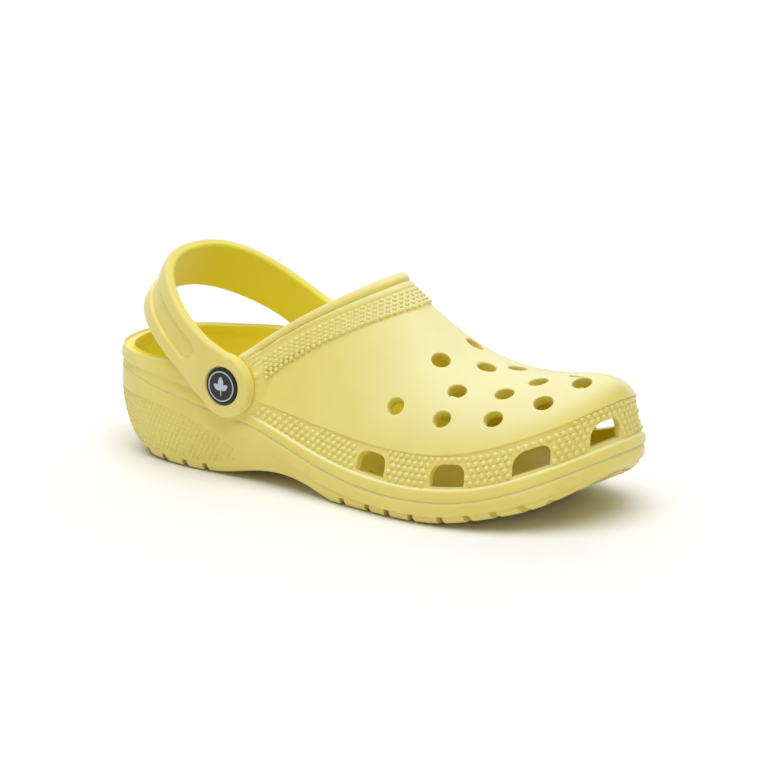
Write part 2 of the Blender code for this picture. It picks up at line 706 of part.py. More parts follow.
def main():
    for thing in list(bpy.data.objects):
        bpy.data.objects.remove(thing)
    parts = new_collection("garden_clog")
    cutters = new_collection("cutters", hidden=True)
    foam = foam_material("moulded yellow foam", (0.84, 0.77, 0.34), 0.55)
    black = foam_material("black nylon", (0.02, 0.02, 0.022), 0.4)
    grey = foam_material("grey nylon", (0.35, 0.35, 0.36), 0.45)
    print_ink = foam_material("printed badge", (0.6, 0.6, 0.6), 0.4)
    body = make_body(parts, cutters)
    body.data.materials.append(foam)
    strap = make_strap(parts, cutters)
    strap.data.materials.append(foam.copy())
    strap.data.materials[-1].name = "strap foam"
    for side, label in ((-1, "right"), (1, "left")):
        stud, badge, cap = make_rivet(side, label, parts)
        for piece, material in ((stud, black), (badge, print_ink), (cap, grey)):
            own = material.copy()
            own.name = material.name + " " + label
            piece.data.materials.append(own)
    bpy.context.view_layer.update()
    corners = np.array([
        tuple(piece.matrix_world @ vertex.co) for piece in parts.objects for vertex in piece.data.vertices
    ])
    middle = (corners.min(axis=0) + corners.max(axis=0)) / 2
    for piece in parts.objects:
        piece.location -= Vector((middle[0], middle[1], 0))
        piece.data.shade_smooth()
    for helper in cutters.objects:
        helper.hide_render = True
        helper.display_type = "WIRE"


main()
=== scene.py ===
import json
from math import cos, pi, radians, sin

import bmesh
import bpy
import numpy as np
from mathutils import Matrix, Vector
from mathutils.bvhtree import BVHTree


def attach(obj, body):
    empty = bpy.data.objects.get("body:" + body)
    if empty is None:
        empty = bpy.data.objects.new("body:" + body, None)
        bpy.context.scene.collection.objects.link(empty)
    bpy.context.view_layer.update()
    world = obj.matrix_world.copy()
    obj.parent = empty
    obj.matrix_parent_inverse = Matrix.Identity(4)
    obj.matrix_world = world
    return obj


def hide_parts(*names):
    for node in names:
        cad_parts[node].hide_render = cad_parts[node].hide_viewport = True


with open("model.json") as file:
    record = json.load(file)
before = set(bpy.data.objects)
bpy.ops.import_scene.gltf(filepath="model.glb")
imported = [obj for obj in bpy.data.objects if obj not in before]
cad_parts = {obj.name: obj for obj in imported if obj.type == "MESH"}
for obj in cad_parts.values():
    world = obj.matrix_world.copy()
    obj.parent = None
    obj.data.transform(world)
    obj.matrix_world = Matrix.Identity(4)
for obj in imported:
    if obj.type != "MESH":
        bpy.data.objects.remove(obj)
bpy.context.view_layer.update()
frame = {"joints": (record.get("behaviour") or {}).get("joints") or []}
mm = 0.001


# small helpers

def linearColour(text, alpha=1.0):
    channels = [int(text[i : i + 2], 16) / 255 for i in (0, 2, 4)]
    return tuple(c / 12.92 if c <= 0.04045 else ((c + 0.055) / 1.055) ** 2.4 for c in channels) + (alpha,)


def through(xs, ys, period=None):  # smooth curve through knots
    xs, ys = np.asarray(xs, float), np.asarray(ys, float)
    flat = ys.ndim == 1
    rows = ys[:, None] if flat else ys
    knots = xs
    if period:
        knots = np.concatenate([xs[-3:] - period, xs, xs[:3] + period])
        rows = np.concatenate([rows[-3:], rows, rows[:3]])
    count, gaps = len(knots), np.diff(knots)
    left, right = np.eye(count), np.zeros((count, rows.shape[1]))
    for i in range(1, count - 1):
        left[i, i - 1 : i + 2] = gaps[i - 1], 2 * (gaps[i - 1] + gaps[i]), gaps[i]
        after, before = (rows[i + 1] - rows[i]) / gaps[i], (rows[i] - rows[i - 1]) / gaps[i - 1]
        right[i] = 6 * (after - before)
    bends = np.linalg.solve(left, right)

    def value(at):
        at = np.asarray(at, float)
        run = at.ravel()
        run = (run - xs[0]) % period + xs[0] if period else np.clip(run, knots[0], knots[-1])
        j = np.clip(np.searchsorted(knots, run, side="right") - 1, 0, count - 2)
        a = ((knots[j + 1] - run) / gaps[j])[:, None]
        b = 1 - a
        bend = ((a**3 - a) * bends[j] + (b**3 - b) * bends[j + 1]) * (gaps[j] ** 2)[:, None] / 6
        found = a * rows[j] + b * rows[j + 1] + bend
        return found.reshape(at.shape) if flat else found.reshape(at.shape + (rows.shape[1],))

    return value


def ease(start, end, at):
    part = np.clip((np.asarray(at, float) - start) / (end - start), 0, 1)
    return part * part * (3 - 2 * part)


def apart(rows, least):  # each row keeps at least this far from the one before
    for i in range(1, rows.shape[-1]):
        rows[..., i] = np.maximum(rows[..., i], rows[..., i - 1] + least)
    return rows


def unit(vectors):
    return vectors / np.maximum(np.linalg.norm(vectors, axis=-1, keepdims=True), 1e-12)


def bezier(a, b, c, d, t):
    t = np.asarray(t)[..., None]
    return (1 - t) ** 3 * a + 3 * t * (1 - t) ** 2 * b + 3 * t * t * (1 - t) * c + t**3 * d


def hump(at):  # 0 at both ends, round top of 1 in the middle
    return np.sqrt(np.clip(1 - (2 * np.clip(at, 0, 1) - 1) ** 2, 0, 1))


# the shoe's own form, the same rule as its solid

form = {
    "length": 262 * mm, "width": 103 * mm, "collarHeight": 93.5 * mm, "rimHeight": 49 * mm,
    "wall": 4.5 * mm, "footbedHeel": 24 * mm, "footbedBall": 14 * mm,
    "hingeX": -48.5 * mm, "hingeHeight": 43.7 * mm, "seatThickness": 5.6 * mm,
    "seatFaces": {-1: 41.4 * mm, 1: 45.4 * mm},  # outer side, inner side
}
half = form["length"] / 2
outlineXY = np.array((
    (-1.000, 0.000), (-0.935, -0.466), (-0.748, -0.718), (-0.458, -0.786), (-0.153, -0.835),
    (0.168, -0.961), (0.458, -1.029), (0.718, -0.893), (0.901, -0.544), (1.000, 0.039),
    (0.962, 0.485), (0.832, 0.796), (0.595, 0.932), (0.290, 0.903), (-0.076, 0.870),
    (-0.458, 0.866), (-0.748, 0.790), (-0.935, 0.500),
)) * (half, form["width"] / 2)
spans = np.linalg.norm(np.roll(outlineXY, -1, axis=0) - outlineXY, axis=1)
around = spans.sum()
outline = through(np.concatenate([[0], np.cumsum(spans)[:-1]]), outlineXY, around)
fineU = np.linspace(0, around, 20001)
fineXY = outline(fineU)
toeU = fineU[np.argmax(fineXY[:, 0])]


def table(rows, scale=mm, along=half):
    rows = np.array(rows, float)
    return through(rows[:, 0] * along, rows[:, 1] * scale)


edgeHeight = table((
    (-1.0, 15), (-0.931, 6), (-0.824, 1), (-0.763, 0), (-0.534, 0), (-0.427, 1.2), (-0.229, 6),
    (-0.038, 4.2), (0.076, 0), (0.382, 0), (0.496, 0.6), (0.725, 5.5), (0.878, 11), (1.0, 20)))
joinHeight = table((
    (-1.0, 42), (-0.763, 41), (-0.534, 38), (-0.336, 33.5), (-0.153, 27), (0.038, 20.5),
    (0.229, 17), (0.458, 16.5), (0.687, 20.5), (0.863, 28.6), (1.0, 37)))
spineHeight = table((
    (0.099, 1.0), (0.191, 0.898), (0.267, 0.820), (0.382, 0.721), (0.496, 0.654),
    (0.611, 0.636), (0.702, 0.647), (0.809, 0.672)), form["collarHeight"])
rimRise = table(((-1.0, -0.5), (-0.802, -1), (-0.649, 0), (-0.534, 2), (-0.427, 5)))
tuckDepth = table((
    (-1.0, 17), (-0.878, 10), (-0.725, 5.5), (-0.458, 3.5), (-0.153, 2.5), (0.229, 3),
    (0.611, 4), (0.840, 7), (1.0, 10)))
footbedShare = table((
    (-1.0, 1.0), (-0.5, 0.93), (-0.2, 0.62), (0.0, 0.28), (0.2, 0.06), (0.4, 0.0),
    (0.62, 0.10), (0.8, 0.62), (1.0, 1.5)), 1)
spinePlace = table(((0, 0.099), (0.25, 0.275), (0.5, 0.458), (0.75, 0.641), (0.9, 0.748), (1, 0.809)), half, 1)
leanAngle = table(((0, 5), (0.15, 14), (0.4, 15), (0.7, 5), (1, 1)), pi / 180, 1)
footHandle = table(((0, 21), (0.2, 24), (0.5, 31), (0.8, 28), (1, 23)), mm, 1)
spineHandle = table(((0, 22), (0.2, 26), (0.5, 26), (0.8, 27), (1, 26)), mm, 1)
collarJoin = 0.23


def outlineAt(x, side):
    outer = fineU <= toeU
    if side < 0:
        return float(np.interp(x, fineXY[outer, 0], fineU[outer]))
    return float(np.interp(-x, -fineXY[~outer, 0], fineU[~outer]))


collarX = -0.427 * half
collarU = {side: outlineAt(collarX, side) for side in (-1, 1)}
heelU = {-1: 0.0, 1: around}


def outward(u):
    step = unit(outline(u + 0.3 * mm) - outline(u - 0.3 * mm))
    return np.stack([step[..., 1], -step[..., 0], np.zeros_like(step[..., 0])], -1)


def joinLine(u):
    xy = outline(u)
    return np.concatenate([xy, joinHeight(xy[..., 0])[..., None]], -1)


def edgeLine(u):
    xy = outline(u)
    height = np.maximum(edgeHeight(xy[..., 0]), 0)
    return np.concatenate([xy, height[..., None]], -1) - outward(u) * tuckDepth(xy[..., 0])[..., None]


def soleWall(u, w):
    u, w = np.broadcast_arrays(u, w)
    top, bottom, out = joinLine(u), edgeLine(u), outward(u)
    drop = np.zeros_like(top)
    drop[..., 2] = top[..., 2] - bottom[..., 2]
    tuck = tuckDepth(top[..., 0])[..., None]
    return bezier(top, top - 0.62 * drop + 2.2 * mm * out, bottom + 0.8 * tuck * out + 0.03 * drop, bottom, w)


def upper(r, t, side):
    r, t = np.broadcast_arrays(np.asarray(r, float), np.asarray(t, float))
    at = collarU[side] + (toeU - collarU[side]) * r
    foot, out, lean = joinLine(at), outward(at), leanAngle(r)[..., None]
    rise = np.cos(lean) * np.array([0, 0, 1.0]) - np.sin(lean) * out
    rise = rise + (1 - ease(0, 0.25, r))[..., None] * np.array([-0.19, 0, 0])
    x = spinePlace(r)
    top = np.stack([x, np.zeros_like(x), spineHeight(x)], -1)
    slope = (spineHeight(x + 0.1 * mm) - spineHeight(x - 0.1 * mm)) / (0.2 * mm)
    along = unit(np.stack([np.ones_like(x), np.zeros_like(x), slope], -1))
    turn = (pi / 2 * ease(0.45, 1, r))[..., None]
    across = np.sin(turn) * along + np.cos(turn) * np.array([0, float(side), 0])
    return bezier(
        foot, foot + rise * footHandle(r)[..., None], top + across * spineHandle(r)[..., None], top, t)


def heelCup(u, w, side):
    def plain(at, share):
        foot, out = joinLine(at), outward(at)
        top = foot - 0.8 * mm * out
        top[..., 2] = form["rimHeight"] + rimRise(foot[..., 0])
        lift = np.zeros_like(foot)
        lift[..., 2] = top[..., 2] - foot[..., 2]
        return bezier(foot, foot + 0.35 * lift + 0.5 * mm * out, top - 0.35 * lift, top, share)

    u, w = np.broadcast_arrays(u, w)
    end = np.full_like(u, collarU[side])
    miss = upper(np.zeros_like(w), collarJoin * w, side) - plain(end, w)
    return plain(u, w) + ease(-0.69 * half, collarX, joinLine(u)[..., 0])[..., None] * miss


def footbedEdge(u):
    xy = outline(u)
    height = form["footbedBall"] + (form["footbedHeel"] - form["footbedBall"]) * footbedShare(xy[..., 0])
    return np.concatenate([xy, (height + 1.2 * mm)[..., None]], -1) - outward(u) * (form["wall"] + 4 * mm)


def gridNormals(points, side):
    return unit(np.cross(np.gradient(points, axis=0), np.gradient(points, axis=1)) * -side)


# relief on the outside of the foam, in distances from the bead line and from the collar's edge

relief = {
    "beadHeight": 0.7 * mm, "grooveDepth": 0.55 * mm, "grooveWidth": 1.1 * mm,
    "fieldDepth": 0.9 * mm, "stepWidth": 0.7 * mm, "secondGroove": 13.2 * mm, "secondDepth": 0.45 * mm,
    "collarBead": 4.6 * mm, "collarBeadHeight": 1.25 * mm, "collarSecond": 3.4 * mm,
    "collarSecondHeight": 0.55 * mm, "collarBand": 19.3 * mm, "collarBandHeight": 0.75 * mm,
    "rimLip": 6.2 * mm, "rimLipHeight": 0.85 * mm, "panelDepth": 0.45 * mm, "crease": 1.7 * mm,
    "maskStart": 14.8 * mm, "maskEnd": 17.2 * mm,
}
firstGroove = table((
    (-1.0, 2.4), (-0.9, 2.6), (-0.75, 5.0), (-0.6, 6.3), (-0.5, 6.5), (-0.31, 5.8), (0.0, 6.0), (1.0, 6.0)))
creaseDepth = table(((-1.0, 0.25), (-0.8, 0.35), (-0.6, 0.7), (-0.45, 0.9), (-0.3, 0.9)))
bandHeight = table((
    (-0.36, 4.5), (-0.28, 6.2), (-0.03, 10.7), (0.12, 12.7), (0.29, 13.7), (0.54, 14.7), (0.84, 16.4),
    (0.91, 16.5), (0.97, 17.1), (1.0, 17.3)))
panelTop = table(((-1.0, 12.6), (-0.76, 12.2), (-0.55, 13.5), (-0.40, 17.5), (-0.30, 21)))


def foreShare(x):  # 0 at the heel, 1 from the arch forward
    return ease(-0.42 * half, -0.33 * half, x)


def hingeMask(points):  # 0 around the rivet, where the wall stays plain
    away = np.hypot(points[..., 0] - form["hingeX"], points[..., 2] - form["hingeHeight"])
    return ease(relief["maskStart"], relief["maskEnd"], away)


def joinRelief(x):  # the same value from above and from below the bead line
    fore = foreShare(x)
    return -relief["fieldDepth"] * fore - creaseDepth(x) * (1 - fore)


def wallRelief(x, below, total):
    fore = foreShare(x)
    groove = firstGroove(x)
    beadEnd = groove - relief["grooveWidth"] / 2
    bead = relief["beadHeight"] * (0.55 + 0.45 * hump(below / np.maximum(beadEnd, 1e-6)))
    rise = ease(0, 0.9 * mm, below)
    onBead = below < beadEnd
    high = np.where(onBead, (1 - rise) * joinRelief(x) + rise * bead * ease(beadEnd, beadEnd - 1.1 * mm, below), 0)
    inGroove = np.exp(-(((below - groove) / (0.42 * relief["grooveWidth"])) ** 2))
    low = -relief["grooveDepth"] * inGroove
    toSecond = np.clip((below - groove) / (relief["secondGroove"] - groove), 0, 1)
    swell = 0.55 * mm * hump(toSecond) * fore * (below < relief["secondGroove"])
    second = -relief["secondDepth"] * np.exp(-(((below - relief["secondGroove"]) / (0.75 * mm)) ** 2))
    second = second * ease(-0.10 * half, 0.12 * half, x)
    foreShape = np.where(onBead, high, low + swell + second)
    heelShape = low - creaseDepth(x) * np.exp(-((below / relief["crease"]) ** 2))
    drop = ease(0, 0.8 * mm, below - panelTop(x)) * (1 - ease(-0.36 * half, -0.27 * half, x))
    drop = drop * (1 - ease(total - 5.4 * mm, total - 4.6 * mm, below))
    return fore * foreShape + (1 - fore) * heelShape - relief["panelDepth"] * drop


def bandRelief(x, above):
    fore = foreShare(x)
    out = ease(bandHeight(x) - relief["stepWidth"] / 2, bandHeight(x) + relief["stepWidth"] / 2, above)
    heel = -creaseDepth(x) * np.exp(-((above / relief["crease"]) ** 2))
    return fore * (-relief["fieldDepth"]) * (1 - out) + (1 - fore) * heel


def collarRelief(inFrom):
    r = relief
    one = r["collarBandHeight"] + r["collarBeadHeight"] * hump(0.06 + 0.94 * inFrom / r["collarBead"])
    start = r["collarBead"] + 0.5 * mm
    two = r["collarBandHeight"] + r["collarSecondHeight"] * hump((inFrom - start) / r["collarSecond"])
    field = r["collarBandHeight"] * (1 - ease(r["collarBand"] - 0.2 * mm, r["collarBand"] + 0.3 * mm, inFrom))
    shape = np.where(inFrom < r["collarBead"], one, field)
    inTwo = (inFrom >= start) & (inFrom < start + r["collarSecond"])
    shape = np.where(inTwo, two, shape)
    between = np.exp(-(((inFrom - r["collarBead"] - 0.25 * mm) / (0.45 * mm)) ** 2))
    return shape - 0.35 * mm * between


# how finely the foam is drawn
fine = {"heelColumns": 76, "collarColumns": 52, "toeColumns": 96, "cupRows": 9, "wallRows": 46, "crossRows": 34}

shares = np.concatenate([
    np.linspace(0, 0.165, fine["collarColumns"] + 1),
    np.linspace(0.165, 1, fine["toeColumns"] + 1)[1:],
])


def spacedRows(r, x, total, join):
    # distances up each rib: packed at the two steps of the band, even above it
    band = np.clip(bandHeight(x), 3 * mm, 0.8 * total)
    low = np.array([0, 0.35, 0.7, 1.1]) * mm
    body = np.linspace(0.14, 0.90, 5)
    steps = np.array([-0.7, -0.35, 0, 0.35, 0.7, 1.2]) * mm
    above = np.linspace(0, 1, 31)[1:]
    ribs = []
    for k in range(len(r)):
        rows = apart(np.concatenate([low, band[k] * body, band[k] + steps]), 0.2 * mm)
        rows = np.concatenate([rows, rows[-1] + (total[k] - rows[-1]) * above])
        plain = np.concatenate([
            np.linspace(0, join, fine["cupRows"] + 1),
            np.linspace(join, total[0], len(rows) - fine["cupRows"])[1:],
        ])
        blend = ease(0.0, 0.07, r[k])
        ribs.append((1 - blend) * plain * (total[k] / total[0]) + blend * rows)
    return np.array(ribs)


def lengthsUp(points):
    steps = np.linalg.norm(np.diff(points, axis=1), axis=-1)
    return np.concatenate([np.zeros((len(points), 1)), np.cumsum(steps, axis=1)], axis=1)


class Skin:
    def __init__(self):
        self.points, self.faces, self.count = [], [], 0

    def patch(self, grid, flip):
        rows, columns = grid.shape[:2]
        index = self.count + np.arange(rows * columns).reshape(rows, columns)
        quads = np.stack([index[:-1, :-1], index[1:, :-1], index[1:, 1:], index[:-1, 1:]], -1).reshape(-1, 4)
        self.points.append(grid.reshape(-1, 3))
        self.faces.append(quads[:, ::-1] if flip else quads)
        self.count += rows * columns

    def build(self, name):
        mesh = bpy.data.meshes.new(name)
        mesh.from_pydata(np.concatenate(self.points).tolist(), [], np.concatenate(self.faces).tolist())
        work = bmesh.new()
        work.from_mesh(mesh)
        bmesh.ops.remove_doubles(work, verts=work.verts, dist=0.012 * mm)
        bmesh.ops.dissolve_degenerate(work, edges=work.edges, dist=0.012 * mm)
        bmesh.ops.recalc_face_normals(work, faces=work.faces)
        work.to_mesh(mesh)
        work.free()
        return addObject(name, mesh)


def addObject(name, data):
    thing = bpy.data.objects.new(name, data)
    bpy.context.scene.collection.objects.link(thing)
    return thing


def sideGrids(side):
    r = shares
    trial = upper(r[:, None], np.linspace(0, 1, 241)[None, :], side)
    up = lengthsUp(trial)
    join = float(np.interp(collarJoin, np.linspace(0, 1, 241), up[0]))
    x = joinLine(collarU[side] + (toeU - collarU[side]) * r)[:, 0]
    rows = spacedRows(r, x, up[:, -1], join)
    t = np.array([np.interp(rows[k], up[k], np.linspace(0, 1, 241)) for k in range(len(r))])
    t[:, -1] = 1
    vamp = upper(r[:, None] + 0 * t, t, side)
    w = t[0, : fine["cupRows"] + 1] / collarJoin
    w[-1] = 1
    vamp[0, : fine["cupRows"] + 1] = upper(0 * w, collarJoin * w, side)
    heel = heelU[side] + (collarU[side] - heelU[side]) * np.linspace(0, 1, fine["heelColumns"] + 1)
    cup = heelCup(heel[:, None], w[None, :], side)
    toe = collarU[side] + (toeU - collarU[side]) * r
    allU = np.concatenate([heel, toe[1:]])
    trialWall = soleWall(allU[:, None], np.linspace(0, 1, 161)[None, :])
    down = lengthsUp(trialWall)
    total = down[:, -1:]
    x = joinLine(allU)[:, :1]
    groove = firstGroove(x)
    marks = np.concatenate([
        np.linspace(0, 1.0, 5) * mm + 0 * x,
        1.0 * mm + (groove - 1.9 * mm) * np.linspace(0, 1, 6)[1:][None, :],
        groove + np.linspace(-0.7, 0.7, 6)[None, :] * mm,
        groove + 0.7 * mm + (relief["secondGroove"] - groove - 1.8 * mm) * np.linspace(0, 1, 9)[1:][None, :],
        relief["secondGroove"] + np.linspace(-0.9, 0.9, 5)[None, :] * mm + 0 * x,
    ], axis=1)
    marks = apart(marks, 0.2 * mm)
    marks = marks * np.minimum(1, (total - 2.5 * mm) / marks[:, -1:])
    after = np.linspace(0, 1, fine["wallRows"] - marks.shape[1] + 2)[1:][None, :]
    rest = marks[:, -1:] + (total - marks[:, -1:]) * after
    below = np.concatenate([marks, rest], axis=1)
    share = np.array([np.interp(below[k], down[k], np.linspace(0, 1, 161)) for k in range(len(allU))])
    wall = soleWall(allU[:, None] + 0 * share, share)
    return {"cup": cup, "vamp": vamp, "rows": rows, "wall": wall, "below": below, "total": total, "u": allU}


def agree(grids):
    # normals that match wherever two grids share a line
    for side, g in grids.items():
        g["cupOut"], g["vampOut"] = gridNormals(g["cup"], side), gridNormals(g["vamp"], side)
        g["wallOut"] = -gridNormals(g["wall"], side)
    toe = unit(grids[-1]["vampOut"][-1] + grids[1]["vampOut"][-1])
    toeWall = unit(grids[-1]["wallOut"][-1] + grids[1]["wallOut"][-1])
    heelWall = unit(grids[-1]["wallOut"][0] + grids[1]["wallOut"][0])
    heelCupOut = unit(grids[-1]["cupOut"][0] + grids[1]["cupOut"][0])
    spine = sum(g["vampOut"][:, -1] * np.sign(g["vampOut"][:, -1, 2:]) for g in grids.values())
    spine[:, 1] = 0
    spine[-2:] = unit(spine[-3]) + toe[-3]
    rows = fine["cupRows"] + 1
    for side, g in grids.items():
        g["vampOut"][-1] = toe
        g["vampOut"][:, -1] = spine
        g["wallOut"][-1], g["wallOut"][0], g["cupOut"][0] = toeWall, heelWall, heelCupOut
        shared = g["cupOut"][-1] + g["vampOut"][0, :rows]
        g["cupOut"][-1] = shared
        g["vampOut"][0, :rows] = shared
        columns = fine["heelColumns"]
        g["join"] = unit(unit(np.concatenate([g["cupOut"][:, 0], g["vampOut"][1:, 0]])) + unit(g["wallOut"][:, 0]))
        g["cupOut"], g["vampOut"], g["wallOut"] = unit(g["cupOut"]), unit(g["vampOut"]), unit(g["wallOut"])
        g["cupRaised"], g["vampRaised"], g["wallRaised"] = (
            g["cupOut"].copy(), g["vampOut"].copy(), g["wallOut"].copy())
        g["cupRaised"][:, 0] = g["join"][: columns + 1]
        g["vampRaised"][:, 0] = g["join"][columns:]
        g["wallRaised"][:, 0] = g["join"]


def seatFlat(points, side, inner):
    # the wall lies flat under the strap's eye, and the cap's bed is thick enough inside
    away = np.hypot(points[..., 0] - form["hingeX"], points[..., 2] - form["hingeHeight"])
    level = side * points[..., 1]
    if inner:
        goal = np.minimum(level, form["seatFaces"][side] - form["seatThickness"] - 0.25 * mm)
        pull = 1 - ease(10 * mm, 15 * mm, away)
    else:
        goal = np.full_like(level, form["seatFaces"][side])
        pull = 1 - ease(15.2 * mm, 18.5 * mm, away)
    near = level > 25 * mm
    points[..., 1] = side * np.where(near, level + (goal - level) * pull, level)
    return points


def aboveBed(points, bed):  # the inside wall starts a little above the footbed
    low = points[:, :1, 2]
    lift = np.maximum(0, bed[:, None, 2] + 1.4 * mm - low)
    points[..., 2] += lift * np.exp(-(points[..., 2] - low) / (6 * mm))
    return points


def foamSkin():
    grids = {side: sideGrids(side) for side in (-1, 1)}
    agree(grids)
    skin, edges, beds = Skin(), {}, {}
    rows = fine["cupRows"] + 1
    for side, g in grids.items():
        flip = side > 0
        cup, vamp, wall = g["cup"], g["vamp"], g["wall"]
        x = joinLine(g["u"])[:, :1]
        wallUp = wallRelief(x, g["below"], g["total"]) * hingeMask(wall)
        inFrom = lengthsUp(vamp.transpose(1, 0, 2)).T
        fade = ease(0, 0.055, shares)[:, None]
        onCollar = collarRelief(inFrom) * ease(0.05, 0.12, lengthsUp(vamp) / lengthsUp(vamp)[:, -1:])
        vampUp = (bandRelief(x[fine["heelColumns"] :], g["rows"]) * ease(
            relief["collarBand"], relief["collarBand"] + 1.5 * mm, inFrom + 14 * mm * (1 - fade)) + onCollar)
        vampUp = vampUp * hingeMask(vamp)
        vampUp[:, 0] = wallUp[fine["heelColumns"] :, 0]
        fromRim = lengthsUp(cup)
        fromRim = fromRim[:, -1:] - fromRim
        lip = relief["rimLipHeight"] * hump(np.clip(fromRim / relief["rimLip"], 0.04, 1))
        cupUp = (bandRelief(x[: fine["heelColumns"] + 1], lengthsUp(cup)) + lip) * hingeMask(cup)
        cupUp[:, 0] = wallUp[: fine["heelColumns"] + 1, 0]
        cupOut = seatFlat(cup + g["cupRaised"] * cupUp[..., None], side, False)
        vampOut = seatFlat(vamp + g["vampRaised"] * vampUp[..., None], side, False)
        wallOut = seatFlat(wall + g["wallRaised"] * wallUp[..., None], side, False)
        bed = footbedEdge(g["u"])
        columns = fine["heelColumns"]
        cupIn = aboveBed(cup - form["wall"] * g["cupOut"], bed[: columns + 1])
        vampIn = aboveBed(vamp - form["wall"] * g["vampOut"], bed[columns:])
        cupIn, vampIn = seatFlat(cupIn, side, True), seatFlat(vampIn, side, True)
        least = np.minimum(side * vamp[:-1, :-1, 1], 0.04 * mm)
        vampIn[:-1, :-1, 1] = side * np.maximum(side * vampIn[:-1, :-1, 1], least)
        skin.patch(wallOut[:, ::-1], flip)
        skin.patch(cupOut, flip)
        skin.patch(vampOut, flip)
        skin.patch(cupIn, not flip)
        skin.patch(vampIn, not flip)
        lip = np.concatenate([cupOut[:, -1], vampOut[0, rows:]])
        lipIn = np.concatenate([cupIn[:, -1], vampIn[0, rows:]])
        lipOut = np.concatenate([g["cupOut"][:, -1], g["vampOut"][0, rows:]])
        away = np.cross(lipOut, np.gradient(lip, axis=0)) * side
        away[0, 1] = 0
        away[-1, 1] = 0
        away = unit(away)
        middle, reach = (lip + lipIn) / 2, (lip - lipIn) / 2
        turns = np.linspace(0, pi, 9)
        ring = [middle + reach * cos(a) + away * 1.9 * mm * sin(a) for a in turns]
        ring[0], ring[-1] = lip, lipIn
        skin.patch(np.stack(ring, 1), flip)
        innerJoin = np.concatenate([cupIn[:, 0], vampIn[1:, 0]])
        turns = np.linspace(0, 1, 8)
        corner = innerJoin.copy()
        corner[:, 2] = bed[:, 2]
        curve = [(1 - a) ** 2 * bed + 2 * a * (1 - a) * corner + a * a * innerJoin for a in turns]
        curve[0], curve[-1] = bed, innerJoin
        skin.patch(np.stack(curve, 1), not flip)
        edges[side], beds[side] = wallOut[:, -1], bed
        g["outside"] = [wallOut, cupOut, vampOut]
    across = np.linspace(0, 1, fine["crossRows"] + 1)[None, :, None]
    tread = edges[-1][:, None] * (1 - across) + edges[1][:, None] * across
    skin.patch(tread, True)
    grids[-1]["outside"].append(tread)
    bed = beds[-1][:, None] * (1 - across) + beds[1][:, None] * across
    bed[..., 2] -= (1.2 * mm * (1 - (2 * across - 1) ** 4))[..., 0]
    skin.patch(bed, False)
    return skin.build("foamBody"), grids


foam, grids = foamSkin()
hingeBody = frame["joints"][0]["pos_m"]
shift = Vector((hingeBody[0] - form["hingeX"], hingeBody[1], hingeBody[2] - form["hingeHeight"]))
print("foam skin:", len(foam.data.polygons), "faces")


# holes and notches in the foam

openings = {
    "ventDiameter": 8.4 * mm, "ventOval": 0.93,
    "portWidth": 16 * mm, "portHeight": 10.6 * mm, "portCorner": 5 * mm,
    "portLift": {-1: 0.0, 1: 4.5 * mm},  # outer side, inner side
    "notchWidth": 3.2 * mm, "notchDepth": 3.6 * mm, "notchOverlap": 9 * mm, "notchBend": 3.5 * mm,
    "capDiameter": 16 * mm, "shankHole": 7.6 * mm, "throughDepth": 12 * mm, "hollowDepth": 10 * mm,
}
# growth of each cutter's outline and its height over the skin, in millimetres, for a rounded mouth
ventFlare = (
    (0, -14), (0, -1.1), (0.05, -0.65), (0.18, -0.3), (0.42, -0.04), (0.85, 0.22), (1.7, 0.7), (1.7, 9))
portFlare = (
    (0, -12), (0, -1.9), (0.08, -1.3), (0.3, -0.85), (0.62, -0.5), (1.1, -0.15), (2, 0.5), (2, 10))
vents = (
    (-1, 0.406, 0.768), (-1, 0.549, 0.918), (-1, 0.542, 0.607), (-1, 0.668, 0.649),
    (-1, 0.753, 0.796), (-1, 0.877, 0.653), (-1, 0.775, 0.495), (-1, 0.408, 0.389),
    (-1, 0.551, 0.387), (-1, 0.672, 0.411), (1, 0.409, 0.913), (1, 0.637, 0.946),
    (1, 0.44, 0.56), (1, 0.57, 0.57), (1, 0.70, 0.54),
)
ports = (
    (-1, 0.4135), (-1, 0.6015), (-1, 0.7755), (-1, 0.9355),
    (1, 0.360), (1, 0.565), (1, 0.735), (1, 0.895),
)
notchU = (  # along the outline on the outer side, heel then forefoot
    33.9, 46.8, 59.8, 73.9, 86.8, 169.9, 183.2, 196.0, 209.2, 223.1, 236.9, 250.6, 264.4, 278.2, 292.0)
fineT = np.linspace(0, 1, 181)


def onUpper(r, t, side):  # place and outward direction on the upper
    r, t = np.atleast_1d(r).astype(float), np.atleast_1d(t).astype(float)
    step = 0.003
    place = upper(r, t, side)
    alongR = upper(np.minimum(r + step, 1), t, side) - upper(np.maximum(r - step, 0), t, side)
    alongT = upper(r, np.minimum(t + step, 1), side) - upper(r, np.maximum(t - step, 0), side)
    return place, unit(np.cross(alongR, alongT) * -side)


def shareUp(r, side, distance):  # t that lies this far up each rib from the bead line
    ribs = upper(np.atleast_1d(r)[:, None], fineT[None, :], side)
    up = lengthsUp(ribs)
    return np.array([np.interp(d, run, fineT) for d, run in zip(np.atleast_1d(distance), up)])


def turnedSolid(work, profile, place, steps):  # closed solid turned about the local Z of place
    angles = np.linspace(0, 2 * pi, steps, endpoint=False)
    rings = []
    for radius, height in profile:
        if radius == 0:
            rings.append([work.verts.new(place @ Vector((0, 0, height)))])
        else:
            rings.append([work.verts.new(place @ Vector((radius * cos(a), radius * sin(a), height))) for a in angles])
    for low, high in zip(rings[:-1], rings[1:]):
        for i in range(steps):
            k = (i + 1) % steps
            if len(low) == 1:
                work.faces.new((low[0], high[k], high[i]))
            elif len(high) == 1:
                work.faces.new((low[i], low[k], high[0]))
            else:
                work.faces.new((low[i], low[k], high[k], high[i]))


